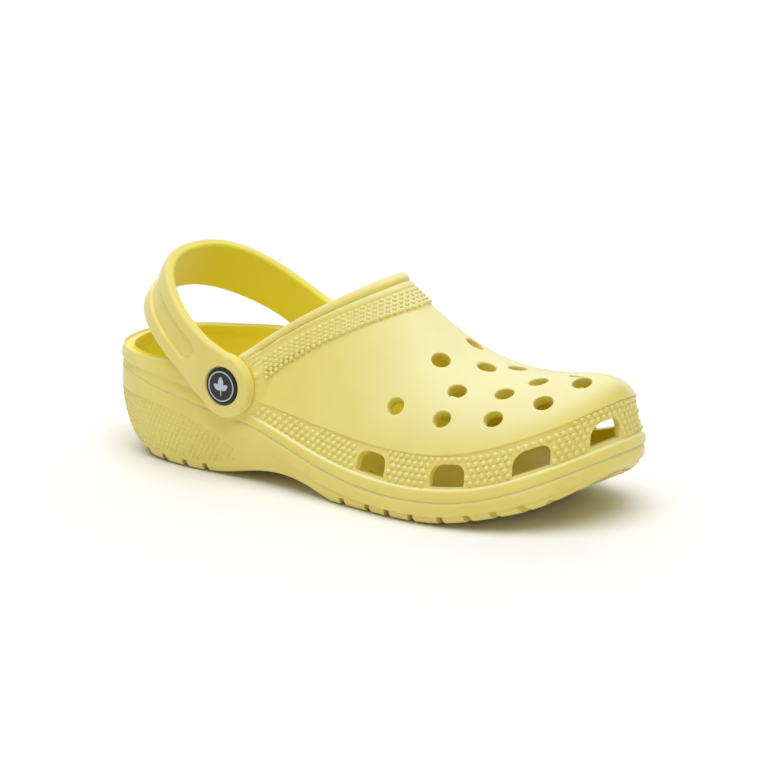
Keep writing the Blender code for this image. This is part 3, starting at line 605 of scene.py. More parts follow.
def looped(work, rings):  # closed solid between outlines that have the same count of points
    rows = [[work.verts.new(tuple(p)) for p in ring] for ring in rings]
    count = len(rows[0])
    for a, b in zip(rows[:-1], rows[1:]):
        for i in range(count):
            k = (i + 1) % count
            work.faces.new((a[i], a[k], b[k], b[i]))
    work.faces.new(rows[0][::-1])
    work.faces.new(rows[-1])


def fromWork(work, name):
    bmesh.ops.recalc_face_normals(work, faces=work.faces)
    mesh = bpy.data.meshes.new(name)
    work.to_mesh(mesh)
    work.free()
    return addObject(name, mesh)


def place(position, direction):
    turn = Vector((0, 0, 1)).rotation_difference(Vector(direction)).to_matrix().to_4x4()
    return Matrix.Translation(Vector(position)) @ turn


def node(tree, kind, at=(0, 0), links=None, **settings):  # adds a node, sets it and links into it
    made = tree.nodes.new(kind)
    made.location = (at[0] * 190, at[1] * 170)
    for key, value in settings.items():
        setattr(made, key, value)
    for key, value in (links or {}).items():
        socket = made.inputs[key]
        if isinstance(value, bpy.types.NodeSocket):
            tree.links.new(value, socket)
        else:
            socket.default_value = value
    return made


def spreadTree(name, material, shape):  # puts a dome, or the given shape, on every place
    tree = bpy.data.node_groups.new(name, "GeometryNodeTree")
    tree.interface.new_socket("Places", in_out="INPUT", socket_type="NodeSocketGeometry")
    for label in ("Sides", "Rings"):
        tree.interface.new_socket(label, in_out="INPUT", socket_type="NodeSocketInt")
    tree.interface.new_socket("Shape", in_out="INPUT", socket_type="NodeSocketObject")
    tree.interface.new_socket("Result", in_out="OUTPUT", socket_type="NodeSocketGeometry")
    start = node(tree, "NodeGroupInput", (0, 0))
    read = {}
    for i, label in enumerate(("out", "ahead", "size")):
        read[label] = node(
            tree, "GeometryNodeInputNamedAttribute", (0, -2 - i * 2), {"Name": label}, data_type="FLOAT_VECTOR")
    if shape:
        source = node(tree, "GeometryNodeObjectInfo", (1, -1), {"Object": start.outputs["Shape"]}).outputs["Geometry"]
    else:
        source = node(tree, "GeometryNodeMeshUVSphere", (1, -1), {
            "Segments": start.outputs["Sides"], "Rings": start.outputs["Rings"], "Radius": 1.0}).outputs["Mesh"]
    turn = node(tree, "FunctionNodeAlignRotationToVector", (1, -3), {
        "Vector": read["out"].outputs["Attribute"]}, axis="Z")
    spin = node(tree, "FunctionNodeAlignRotationToVector", (2, -3), {
        "Rotation": turn.outputs["Rotation"], "Vector": read["ahead"].outputs["Attribute"]}, axis="X", pivot_axis="Z")
    copies = node(tree, "GeometryNodeInstanceOnPoints", (3, 0), {
        "Points": start.outputs["Places"], "Instance": source,
        "Rotation": spin.outputs["Rotation"], "Scale": read["size"].outputs["Attribute"]})
    real = node(tree, "GeometryNodeRealizeInstances", (4, 0), {"Geometry": copies.outputs["Instances"]})
    soft = node(tree, "GeometryNodeSetShadeSmooth", (5, 0), {"Geometry": real.outputs["Geometry"]})
    paint = node(tree, "GeometryNodeSetMaterial", (6, 0), {"Geometry": soft.outputs["Geometry"]})
    if material:
        paint.inputs["Material"].default_value = material
    node(tree, "NodeGroupOutput", (7, 0), {"Result": paint.outputs["Geometry"]})
    return tree


def spread(name, rows, shape=None, material=None, sides=8, rings=6):
    at, out, ahead, size = (np.asarray(part, float) for part in rows)
    mesh = bpy.data.meshes.new(name + "Places")
    mesh.from_pydata(at.tolist(), [], [])
    for label, values in (("out", out), ("ahead", ahead), ("size", size)):
        attribute = mesh.attributes.new(label, "FLOAT_VECTOR", "POINT")
        attribute.data.foreach_set("vector", np.ascontiguousarray(values, np.float32).ravel())
    thing = addObject(name, mesh)
    tree = spreadTree(name, material, shape)
    modifier = thing.modifiers.new(name, "NODES")
    modifier.node_group = tree
    given = {"Sides": sides, "Rings": rings, "Shape": shape}
    for socket in tree.interface.items_tree:
        if socket.in_out == "INPUT" and socket.name in given:
            modifier[socket.identifier] = given[socket.name]
    settle(thing)
    for label in ("out", "ahead", "size"):
        if label in thing.data.attributes:
            thing.data.attributes.remove(thing.data.attributes[label])
    print(name + ":", len(at), "copies,", len(thing.data.polygons), "faces")
    return thing


def ventCutters():
    radius = openings["ventDiameter"] / 2
    mouth = [(radius + grow * mm, height * mm) for grow, height in ventFlare]
    profile = [(0, ventFlare[0][1] * mm)] + mouth + [(0, ventFlare[-1][1] * mm)]
    work = bmesh.new()
    turnedSolid(work, profile, Matrix.Identity(4), 40)
    plug = fromWork(work, "ventPlug")
    rows = []
    for side, r, t in vents:
        middle, out = onUpper(r, t, side)
        ahead = upper(r + 0.01, t, side) - upper(r - 0.01, t, side)
        rows.append((middle, out, ahead[None, :], [(1, openings["ventOval"], 1)]))
    cutters = spread("ventCutters", [np.concatenate(part) for part in zip(*rows)], plug)
    bpy.data.objects.remove(plug)
    return cutters


def archOutline(width, height, corner, low, steps=8):
    points = [(x, low) for x in np.linspace(-width / 2, width / 2, 13)]
    for middle, start in ((width / 2 - corner, 0), (-width / 2 + corner, pi / 2)):
        for i in range(steps + 1):
            angle = start + pi / 2 * i / steps
            points.append((middle + corner * cos(angle), height - corner + corner * sin(angle)))
    return np.array(points)


def portCutters():
    work = bmesh.new()
    w, h, c = openings["portWidth"], openings["portHeight"], openings["portCorner"]
    for side, r in ports:
        spanU = toeU - collarU[side]
        out = onUpper(r, shareUp(r, side, 0.5 * h), side)[1][0]
        rings = []
        for grow, depth in portFlare:
            line = archOutline(w + 2 * grow * mm, h + grow * mm, c + grow * mm, (0.9 - 0.25 * grow) * mm)
            ring = []
            for a, b in line:
                at = r + a / spanU
                wrap, own = (-side, 2 - at) if at > 1 else (side, at)
                t = shareUp(own, wrap, b + openings["portLift"][side])
                ring.append(upper(own, t, wrap)[0] + out * depth * mm)
            rings.append(ring)
        looped(work, rings)
    return fromWork(work, "portCutters")


def treadCutters():
    work = bmesh.new()
    outer, inner = grids[-1], grids[1]
    wide, deep = openings["notchWidth"] / 2, openings["notchDepth"]
    for u in notchU:
        k = int(np.argmin(abs(outer["u"] - u * mm)))
        left, right = edgeLine(outer["u"][k : k + 1])[0], edgeLine(inner["u"][k : k + 1])[0]
        near, far = edgeLine(outer["u"][k - 1 : k])[0], edgeLine(inner["u"][k - 1 : k])[0]
        across = unit(right - left)
        middle, before = (left + right) / 2, (near + far) / 2
        up = unit(np.cross(across, middle - before))
        up = up * np.sign(up[2])
        along = np.cross(up, across)
        past = openings["notchOverlap"]
        ends = (left - across * past, left, middle, right, right + across * past)
        rings = []
        for i, end in enumerate(ends):
            bend = along * (openings["notchBend"] if i == 2 else 0)
            rings.append([
                end + bend + along * wide * 1.35 - up * 3 * mm, end + bend + along * wide * 0.8 + up * deep,
                end + bend - along * wide * 0.8 + up * deep, end + bend - along * wide * 1.35 - up * 3 * mm])
        looped(work, rings)
    return fromWork(work, "treadCutters")


def facing(side):  # turns local Z out of the shoe's side
    return Matrix.Rotation(-side * pi / 2, 4, "X")


def seatCutters():
    work = bmesh.new()
    radius, deep = openings["shankHole"] / 2, openings["throughDepth"]
    for side in (-1, 1):
        seat = Matrix.Translation((form["hingeX"], side * form["seatFaces"][side], form["hingeHeight"])) @ facing(side)
        turnedSolid(work, [(0, -deep), (radius, -deep), (radius, deep), (0, deep)], seat, 40)
    return fromWork(work, "shankHoles")


def capHollows():
    work = bmesh.new()
    radius, deep = openings["capDiameter"] / 2 + 0.3 * mm, openings["hollowDepth"]
    for side in (-1, 1):
        level = form["seatFaces"][side] - form["seatThickness"]
        bed = Matrix.Translation((form["hingeX"], side * level, form["hingeHeight"])) @ facing(-side)
        turnedSolid(work, [(0, 0), (radius, 0), (radius + 0.5 * mm, deep), (0, deep)], bed, 48)
    return fromWork(work, "capHollows")


def combine(thing, others, operation):  # cuts the others out of the thing, or joins them to it
    for other in others:
        boolean = thing.modifiers.new(operation, "BOOLEAN")
        boolean.solver, boolean.operation, boolean.object = "MANIFOLD", operation, other
    settle(thing)
    for other in others:
        bpy.data.objects.remove(other)


def settle(thing):
    bpy.context.view_layer.update()
    graph = bpy.context.evaluated_depsgraph_get()
    solid = bpy.data.meshes.new_from_object(thing.evaluated_get(graph))
    thing.modifiers.clear()
    thing.data = solid
    solid.name = thing.name


def moveIn(thing, by):
    thing.data.transform(Matrix.Translation(by))


def smooth(thing, angle):
    thing.data.shade_smooth()
    thing.data.set_sharp_from_angle(angle=radians(angle))


def mark(thing, label, values):  # a value per point for the finish to read
    attribute = thing.data.attributes.new(label, "FLOAT", "POINT")
    attribute.data.foreach_set("value", np.ascontiguousarray(values, np.float32))


def markPaintedSheen(thing):  # painted sheen: 1 where the foam faces up, which the finish paints paler as if lit from above
    normals = np.empty(len(thing.data.vertices) * 3, np.float32)
    thing.data.vertices.foreach_get("normal", normals)
    mark(thing, "bloom", ease(0.2, 0.95, normals.reshape(-1, 3)[:, 2]))


def depthBelowSkin(thing):  # distance of each point from the foam's outside, before any cut
    outside = Skin()
    for g in grids.values():
        for grid in g["outside"]:
            outside.patch(grid, False)
    tree = BVHTree.FromPolygons(np.concatenate(outside.points).tolist(), np.concatenate(outside.faces).tolist())
    return np.array([tree.find_nearest(v.co)[3] for v in thing.data.vertices])


combine(foam, [ventCutters(), portCutters(), treadCutters(), seatCutters(), capHollows()], "DIFFERENCE")
# painted bounce light: points deep below the outside skin, in the hollows, get a deeper, more saturated yellow
# standing in for light bounced inside the shoe
mark(foam, "inside", ease(0.6 * mm, 4.2 * mm, depthBelowSkin(foam)))
# painted sheen: marks the foam's upward faces to be painted paler, as if lit from above
markPaintedSheen(foam)
smooth(foam, 42)
moveIn(foam, shift)
print("foam cut:", len(foam.data.polygons), "faces")


# rows of small nubs

nubs = {
    "rows": 7, "start": 1.7 * mm, "pitch": 3.3 * mm, "rowPitch": 2.75 * mm, "width": 2.65 * mm, "height": 0.85 * mm,
    "bandEdge": 1.1 * mm, "besidePort": 1.5 * mm, "belowPort": 1.6 * mm, "abovePort": 1.7 * mm, "clear": 0.98,
    "collarRows": 5, "collarStart": 9.9 * mm, "collarRow": 2.05 * mm, "collarPitch": 3.0 * mm,
    "collarWidth": 2.2 * mm, "collarShare": 0.7, "collarEdge": 2.2 * mm,
    "panelRows": 10, "panelStart": 1.7 * mm, "panelRow": 2.4 * mm, "panelPitch": 2.5 * mm, "panelReach": 104 * mm,
    "panelWidth": 1.9 * mm, "panelHeight": 0.5 * mm, "panelEdge": 6.2 * mm,
}


def nearPort(side, r, up):
    for portSide, at in ports:
        spanU = abs(toeU - collarU[portSide])
        here = r if portSide == side else 2 - r
        low = openings["portLift"][portSide]
        beside = abs(here - at) * spanU < openings["portWidth"] / 2 + nubs["besidePort"]
        if beside and low - nubs["belowPort"] < up < low + openings["portHeight"] + nubs["abovePort"]:
            return True
    return False


def nubRow(at, out, keep, lift, width, height):  # places, outward directions and sizes
    keep = keep & (hingeMask(at) > nubs["clear"])
    return at[keep] + out[keep] * lift, out[keep], np.tile([width / 2, width / 2, height], (keep.sum(), 1))


def forefootNubs():
    found = []
    for row in range(nubs["rows"]):
        distance = nubs["start"] + nubs["rowPitch"] * row
        us = np.arange(collarU[-1] + nubs["pitch"] * (0.5 * (row % 2)), collarU[1], nubs["pitch"])
        for side in (-1, 1):
            own = us[us <= toeU] if side < 0 else us[us > toeU]
            r = (own - collarU[side]) / (toeU - collarU[side])
            x = joinLine(own)[:, 0]
            keep = (distance < bandHeight(x) - nubs["bandEdge"]) & (r > 0.03)
            keep &= ~np.array([nearPort(side, at, distance) for at in r])
            r = r[keep]
            at, out = onUpper(r, shareUp(r, side, np.full(len(r), distance)), side)
            found.append(nubRow(
                at, out, np.full(len(r), True), -relief["fieldDepth"], nubs["width"], nubs["height"]))
    return found


def collarNubs():
    found = []
    tGrid, rGrid = np.linspace(0.1, 1, 241), np.linspace(0, 0.35, 121)
    for side in (-1, 1):
        sheet = upper(rGrid[:, None], tGrid[None, :], side)
        inFrom = lengthsUp(sheet.transpose(1, 0, 2))  # per t, along r
        for row in range(nubs["collarRows"]):
            distance = nubs["collarStart"] + nubs["collarRow"] * row
            r = np.array([np.interp(distance, run, rGrid) for run in inFrom])
            line = upper(r, tGrid, side)
            run = np.concatenate([[0], np.cumsum(np.linalg.norm(np.diff(line[::-1], axis=0), axis=1))])
            start = nubs["collarPitch"] * (0.5 if row % 2 else 0.0 if side < 0 else 1.0)
            stops = np.arange(start, run[-1], nubs["collarPitch"])
            t = np.interp(stops, run, tGrid[::-1])
            r = np.interp(stops, run, r[::-1])
            at, out = onUpper(r, t, side)
            u = collarU[side] + (toeU - collarU[side]) * r
            up = lengthsUp(upper(r[:, None], fineT[None, :], side))
            above = np.array([np.interp(a, fineT, b) for a, b in zip(t, up)])
            found.append(nubRow(
                at, out, above > bandHeight(joinLine(u)[:, 0]) + nubs["collarEdge"], relief["collarBandHeight"],
                nubs["collarWidth"], nubs["collarShare"] * nubs["height"]))
    return found


def panelNubs():
    found = []
    fineW = np.linspace(0, 1, 121)
    for row in range(nubs["panelRows"]):
        us = np.arange(
            -nubs["panelReach"] + nubs["panelPitch"] * 0.5 * (row % 2), nubs["panelReach"], nubs["panelPitch"])
        wrapped = us % around
        x = joinLine(wrapped)[:, 0]
        distance = panelTop(x) + nubs["panelStart"] + nubs["panelRow"] * row
        walls = soleWall(wrapped[:, None], fineW[None, :])
        down = lengthsUp(walls)
        keep = (distance < down[:, -1] - nubs["panelEdge"]) & (x < -0.2 * half - (distance - panelTop(x)) - 1 * mm)
        w = np.array([np.interp(d, run, fineW) for d, run in zip(distance, down)])
        at = soleWall(wrapped, w)
        alongU = soleWall((wrapped + 0.4 * mm) % around, w) - soleWall((wrapped - 0.4 * mm) % around, w)
        alongW = soleWall(wrapped, np.minimum(w + 0.01, 1)) - soleWall(wrapped, np.maximum(w - 0.01, 0))
        out = unit(np.cross(alongW, alongU))
        out = out * np.sign((out * outward(wrapped)).sum(-1, keepdims=True))
        found.append(nubRow(
            at, out, keep, -(relief["panelDepth"] + 0.02 * mm), nubs["panelWidth"], nubs["panelHeight"]))
    return found


# the strap, drawn flat and then turned up about its hinge

strapSize = {
    "thickness": 5 * mm, "width": 22 * mm, "backWidth": 25.4 * mm, "reach": 70.5 * mm, "bow": 0.9 * mm,
    "roundness": 2 / 2.4,  # 1 would bend the strap as an ellipse
    "eye": 29 * mm, "rest": radians(33), "gap": 0.3 * mm, "edge": 1.7 * mm, "eyeEdge": 2.4 * mm, "eyeFoot": 0.8 * mm,
    "slotWidth": 10 * mm, "slotDepth": 1.45 * mm, "slotStart": 21 * mm,
    "headHole": 17.2 * mm, "headSink": 2.4 * mm, "bore": 7.6 * mm, "boreDepth": 9 * mm,
}


def bandPath(count):
    s = strapSize
    line = sum(form["seatFaces"].values()) / 2 + s["gap"] + s["thickness"] / 2
    angle = np.linspace(0, pi / 2, 1200)
    back, side = s["reach"] * np.sin(angle) ** s["roundness"], line * np.cos(angle) ** s["roundness"]
    side = side + s["bow"] * ease(0, 0.2, back / s["reach"]) * (1 - ease(0.45, 1, back / s["reach"]))
    run = np.concatenate([[0], np.cumsum(np.hypot(np.diff(back), np.diff(side)))])
    at = np.linspace(0, run[-1], count)
    return np.interp(at, run, back), np.interp(at, run, side), at


def bandLine():  # middle line of the strap from eye to eye, its outward direction and the run along each arm
    back, side, run = bandPath(76)
    back, side = np.concatenate([back, back[-2::-1]]), np.concatenate([side, -side[-2::-1]])
    run = np.concatenate([run, run[-2::-1]])
    line = np.stack([-back, side + (form["seatFaces"][1] - form["seatFaces"][-1]) / 2], 1)
    step = unit(np.gradient(line, axis=0))
    out = np.stack([-step[:, 1], step[:, 0]], 1)
    return line, out * np.sign((out * (line - line.mean(axis=0))).sum()), run


def strapBand():
    s = strapSize
    line, out, run = bandLine()
    back = -line[:, 0]
    flare = (s["eye"] - s["width"]) / 2 * 0.7
    wide = s["width"] / 2 + flare * (1 - ease(2 * mm, 24 * mm, back))
    wide = wide + (s["backWidth"] - s["width"]) / 2 * ease(0.45 * s["reach"], s["reach"], back)
    thick, edge = s["thickness"] / 2, s["edge"]
    corner = np.linspace(0, pi / 2, 7)
    flat = np.concatenate([-np.cos(corner), np.cos(corner[::-1])])
    rows = []
    for k in range(len(line)):
        top = wide[k] - edge
        face = np.linspace(-top, top, 46)
        outer = [(thick - edge + edge * sin(a), -top - edge * cos(a)) for a in corner[:-1]]
        outer += [(thick, h) for h in face]
        outer += [(thick - edge + edge * cos(a), top + edge * sin(a)) for a in corner[1:]]
        inner = [(-(thick - edge) - edge * sin(a), top + edge * cos(a)) for a in corner]
        inner += [(-thick, h) for h in np.linspace(top, -top, 10)[1:-1]]
        inner += [(-(thick - edge) - edge * cos(a), -top - edge * sin(a)) for a in corner]
        profile = np.array(outer + inner)
        halfSlot = s["slotWidth"] / 2
        beyond = np.maximum(0, s["slotStart"] + halfSlot - run[k])
        away = np.hypot(beyond, profile[:, 1]) if beyond > 0 else abs(profile[:, 1])
        sink = s["slotDepth"] * (1 - ease(halfSlot - 0.4 * mm, halfSlot + 0.2 * mm, away))
        onFace = profile[:, 0] > thick - 1e-7
        profile[:, 0] -= np.where(onFace, sink, 0)
        rows.append([(line[k, 0] + out[k, 0] * d, line[k, 1] + out[k, 1] * d, h) for d, h in profile])
    work = bmesh.new()
    looped(work, rows)
    return fromWork(work, "heelStrap")


def strapBounceShare(band):  # painted bounce light: 1 on the face towards the heel, which the finish paints a deeper, more saturated yellow
    s = strapSize
    line, out, run = bandLine()
    at = np.array([tuple(v.co) for v in band.data.vertices])[:, :2]
    near = np.argmin(((at[:, None] - line[None]) ** 2).sum(-1), axis=1)
    off = ((at - line[near]) * out[near]).sum(-1)
    return ease(0.2 * s["thickness"], -0.4 * s["thickness"], off)


def makeStrap():
    s = strapSize
    band = strapBand()
    turns = np.linspace(0, pi / 2, 8)
    for side in (-1, 1):
        work = bmesh.new()
        line = form["seatFaces"][side] + s["gap"] + s["thickness"] / 2
        seat = Matrix.Translation((0, side * line, 0)) @ facing(side)
        r, h, e, low = s["eye"] / 2, s["thickness"] / 2, s["eyeEdge"], s["eyeFoot"]
        profile = [(0, -h), (r - low, -h)] + [(r - low + low * sin(a), -h + low - low * cos(a)) for a in turns[1:]]
        profile += [(r - e * 0.62 + e * 0.62 * cos(a), h - e + e * sin(a)) for a in turns] + [(0, h)]
        turnedSolid(work, profile, seat, 96)
        combine(band, [fromWork(work, "eye")], "UNION")
        work = bmesh.new()
        sink, top, hole, deep = s["headHole"] / 2, h - s["headSink"], s["bore"] / 2, s["boreDepth"]
        bore = [(0, -deep), (hole, -deep), (hole, top), (sink, top), (sink, h - 0.5 * mm)]
        bore += [(sink + 0.12 * mm, h - 0.2 * mm), (sink + 0.5 * mm, h + 0.15 * mm)]
        bore += [(sink + 0.9 * mm, h + 3 * mm), (0, h + 3 * mm)]
        turnedSolid(work, bore, seat, 72)
        combine(band, [fromWork(work, "bore")], "DIFFERENCE")
    # painted bounce light on the strap's face towards the heel
    mark(band, "inside", strapBounceShare(band))
    turn = Matrix.Translation(Vector(hingeBody)) @ Matrix.Rotation(s["rest"], 4, "Y")
    band.data.transform(turn)
    smooth(band, 38)
    print("strap:", len(band.data.polygons), "faces")
    return band


# rivets: stud with its head, badge in the head, cap inside the shoe

rivet = {
    "head": 16.6 * mm, "headThick": 2.6 * mm, "proud": 0.5 * mm, "shank": 7 * mm, "badge": 14.4 * mm,
    "badgeThick": 0.9 * mm, "badgeFit": 0.05 * mm, "crownBase": 0.02 * mm, "crownRise": 0.28 * mm,
    "cap": 16 * mm, "capThick": 3.2 * mm, "capRound": 1.3 * mm, "capFit": 0.3 * mm,
    "ringRadius": 6.65 * mm, "ringWidth": 0.55 * mm, "printThick": 0.06 * mm, "printRoot": 0.12 * mm,
}


def seatPlace(side):
    face = hingeBody[1] + side * form["seatFaces"][side]
    return Matrix.Translation(Vector((hingeBody[0], face, hingeBody[2]))) @ facing(side)


def roundedCorner(radius, height, fillet, steps=6):  # outer upper corner of a turned profile
    arc = np.linspace(0, pi / 2, steps)
    return [(radius - fillet + fillet * cos(a), height - fillet + fillet * sin(a)) for a in arc]


def makeRivet(side, label):
    v, seat = rivet, seatPlace(side)
    top = strapSize["gap"] + strapSize["thickness"] + v["proud"]
    under, head, shank = top - v["headThick"], v["head"] / 2, v["shank"] / 2
    recess, floor = v["badge"] / 2 + 0.1 * mm, top - v["badgeThick"]
    capTop = -form["seatThickness"] - strapSize["gap"]
    capLow, tip = capTop - v["capThick"], capTop - 0.6 * v["capThick"]
    work = bmesh.new()
    turnedSolid(work, [
        (0, tip), (shank - 0.5 * mm, tip), (shank, tip + 0.5 * mm), (shank, under), (head - 0.4 * mm, under),
        (head, under + 0.4 * mm)] + roundedCorner(head, top, 0.5 * mm) + [
        (recess + 0.1 * mm, top), (recess, top - 0.1 * mm), (recess, floor), (0, floor)], seat, 96)
    stud = fromWork(work, "rivetStud" + label)
    work = bmesh.new()
    radius = v["badge"] / 2 - v["badgeFit"]
    crown = [(radius * cos(a), top + v["crownBase"] + v["crownRise"] * sin(a)) for a in np.linspace(0.25, pi / 2, 9)]
    turnedSolid(work, [(0, floor + 0.1 * mm), (radius, floor + 0.1 * mm), (radius, top - 0.12 * mm)] + crown[:-1]
                + [(0, top + v["crownBase"] + v["crownRise"])], seat, 96)
    badge = fromWork(work, "rivetBadge" + label)
    work = bmesh.new()
    edge, fit, bend = v["cap"] / 2, v["capFit"], v["capRound"]
    dome = [(edge * sin(a), capLow + bend - bend * cos(a)) for a in np.linspace(0.2, pi / 2, 10)]
    bore = shank + fit
    turnedSolid(work, [(0, capLow)] + dome + [
        (edge, capTop - fit), (edge - fit, capTop), (bore, capTop), (bore, tip - fit), (0, tip - fit)], seat, 72)
    cap = fromWork(work, "rivetCap" + label)
    printed = makePrint(seat, top, label)
    for thing in (stud, badge, cap, printed):
        smooth(thing, 35)
    return stud, badge, cap, printed


def makePrint(seat, top, label):  # thin raised ring and a plain three-leaf sprig
    v, work = rivet, bmesh.new()
    crown = v["badge"] / 2 - v["badgeFit"]

    def height(radius):
        return top + v["crownBase"] + v["crownRise"] * np.sqrt(max(0, 1 - (radius / crown) ** 2))

    def raised(outline):
        low, high = [], []
        for x, y in outline:
            level = height(np.hypot(x, y))
            low.append(seat @ Vector((x, y, level - v["printRoot"])))
            high.append(seat @ Vector((x, y, level + v["printThick"])))
        looped(work, [low, high])

    ringIn, ringOut = v["ringRadius"] - v["ringWidth"] / 2, v["ringRadius"] + v["ringWidth"] / 2
    h = height(v["ringRadius"])
    steps, rings = 96, []
    root = h - v["printRoot"]
    for radius, level in ((ringIn, root), (ringOut, root), (ringOut, h + 0.05 * mm), (ringIn, h + v["printThick"])):
        rings.append([work.verts.new(seat @ Vector((radius * cos(a), radius * sin(a), level)))
                      for a in np.linspace(0, 2 * pi, steps, endpoint=False)])
    for a, b in zip(rings, rings[1:] + rings[:1]):
        for i in range(steps):
            k = (i + 1) % steps
            work.faces.new((a[i], a[k], b[k], b[i]))
    for angle, length, wide, lift in ((90, 5.7, 1.5, -1.2), (32, 4.5, 1.25, -1.6), (148, 4.5, 1.25, -1.6)):
        t = np.linspace(0, 1, 13)
        swell = wide * mm * np.sin(pi * t) ** 0.8
        along = np.stack([np.cos(radians(angle)) * t, np.sin(radians(angle)) * t], 1) * length * mm
        across = np.array([-np.sin(radians(angle)), np.cos(radians(angle))])
        start = np.array([0, lift * mm])
        rightSide = start + along - across * swell[:, None]
        leftSide = start + along + across * swell[:, None]
        raised(np.concatenate([rightSide, leftSide[-2:0:-1]]))
    stem = np.array([(-0.22, -4.4), (0.22, -4.4), (0.3, -1.3), (-0.3, -1.3)]) * mm
    raised(stem)
    return fromWork(work, "badgePrint" + label)


# finishes

def newFinish(name):  # a material, its nodes and the place on the piece
    material = bpy.data.materials.new(name)
    material.use_nodes = True
    tree = material.node_tree
    tree.nodes.clear()
    return material, tree, node(tree, "ShaderNodeTexCoord", (0, 0)).outputs["Object"]


def noise(tree, at, where, grain, detail, roughness=0.5):  # grain is the size of its lumps in metres
    return node(tree, "ShaderNodeTexNoise", at, {
        "Vector": where, "Scale": 1 / grain, "Detail": detail, "Roughness": roughness}).outputs["Fac"]


def stretched(tree, at, value, low=0.0, high=1.0):  # noise lies mostly between 0.3 and 0.7
    return node(tree, "ShaderNodeMapRange", at, {
        "Value": value, "From Min": 0.3, "From Max": 0.7, "To Min": low, "To Max": high}).outputs["Result"]


def blend(tree, at, factor, low, high):  # inputs 6 and 7 are the mix node's two colours, output 2 its result
    return node(tree, "ShaderNodeMix", at, {"Factor": factor, 6: low, 7: high}, data_type="RGBA").outputs[2]


def bumps(tree, at, height, strength, distance, **links):
    return node(tree, "ShaderNodeBump", at, {
        "Height": height, "Strength": strength, "Distance": distance, **links}).outputs["Normal"]


def shade(tree, values):
    surface = node(tree, "ShaderNodeBsdfPrincipled", (5, 0), values)
    node(tree, "ShaderNodeOutputMaterial", (6, 0), {"Surface": surface.outputs["BSDF"]})


def foamFinish(name, pale, deep, inner, paintedSheenTone, sheen=0.4):  # closed-cell EVA foam, injection moulded
    # a soft satin skin with faint pits where cells meet the mould, and a little light inside the foam; upward faces
    # get a painted sheen, a paler colour standing in for light from above
    material, tree, where = newFinish(name)
    cloud = noise(tree, (1, 2), where, 0.022, 2.0)
    tone = blend(tree, (3, 2), stretched(tree, (2, 2), cloud), linearColour(deep), linearColour(pale))
    # painted bounce light: this mask mixes in a deeper, more saturated yellow in the hollows and on the strap's inner
    # face
    inside = node(tree, "ShaderNodeAttribute", (3, 3), attribute_name="inside").outputs["Fac"]
    # painted sheen: mixes towards a paler colour where the foam faces up, standing in for light from above
    paintedSheenShare = node(tree, "ShaderNodeAttribute", (3, 4), attribute_name="bloom").outputs["Fac"]
    withPaintedSheen = blend(tree, (4, 2), paintedSheenShare, tone, linearColour(paintedSheenTone))
    base = blend(tree, (4, 1), inside, withPaintedSheen, linearColour(inner))
    grain = noise(tree, (1, 0), where, 0.0011, 3.0, 0.6)
    skin = noise(tree, (1, -2), where, 0.006, 1.0)
    pits = bumps(tree, (3, -1), grain, 0.35, 0.00008)
    waves = bumps(tree, (4, -1), skin, 0.3, 0.00025, Normal=pits)
    shade(tree, {
        "Base Color": base, "Roughness": stretched(tree, (3, 0), grain, 0.44, 0.55), "Normal": waves, "IOR": 1.45,
        "Sheen Weight": sheen, "Sheen Roughness": 0.4, "Specular IOR Level": 0.45,
        "Subsurface Weight": 0.12, "Subsurface Scale": 0.003, "Subsurface Radius": (1.0, 0.75, 0.25)})
    return material


def nylonFinish(name, base, roughness):  # moulded nylon with a fine spark-eroded texture
    # hard satin black that shows a soft light and a very fine grain
    material, tree, where = newFinish(name)
    grain = noise(tree, (1, 0), where, 0.0005, 2.0)
    cloud = noise(tree, (1, 1), where, 0.004, 2.0)
    low = linearColour(base)
    high = tuple(min(1, c * 1.25 + 0.001) for c in low[:3]) + (1,)
    shade(tree, {
        "Base Color": blend(tree, (3, 1), cloud, low, high), "IOR": 1.53,
        "Roughness": stretched(tree, (3, 0), cloud, roughness - 0.04, roughness + 0.05),
        "Normal": bumps(tree, (3, -1), grain, 0.25, 0.00003)})
    return material


def printFinish(name, base):  # pad-printed ink on the badge
    # thin even ink, a touch glossier than the nylon, with slight unevenness
    material, tree, where = newFinish(name)
    ink = linearColour(base)
    thin = tuple(0.9 * c for c in ink[:3]) + (1,)
    speck = noise(tree, (1, 0), where, 0.0009, 2.0)
    shade(tree, {"Base Color": blend(tree, (3, 0), speck, thin, ink), "Roughness": 0.36, "IOR": 1.5})
    return material


def floorFinish():  # matt white studio sweep, even and soft
    material, tree, where = newFinish("matt white sweep")
    cloud = noise(tree, (1, 0), where, 1 / 3.0, 1.0)
    tone = blend(tree, (3, 0), cloud, linearColour("F4F4F3"), linearColour("F7F7F6"))
    shade(tree, {"Base Color": tone, "Roughness": 0.9})
    return material


def wear(thing, material):
    thing.data.materials.clear()
    thing.data.materials.append(material)


# the fifth colour of each foam is the painted sheen colour for upward faces
# the fourth colour of each foam is the painted bounce light colour for hollows and the strap's inner face
foamSkinFinish = foamFinish("moulded yellow EVA foam", "EFDF7C", "EBD971", "F6E742", "F1EAAE")
strapFinish = foamFinish("moulded yellow EVA foam strap", "EFDF84", "EBD979", "F6E94A", "F1EAAE")
studFinish = nylonFinish("moulded black nylon", "101012", 0.42)
badgeFinish = nylonFinish("gloss black ABS badge", "0A0A0C", 0.32)
capFinish = nylonFinish("moulded grey nylon", "55565A", 0.45)
inkFinish = printFinish("pad-printed grey ink", "C6CED8")

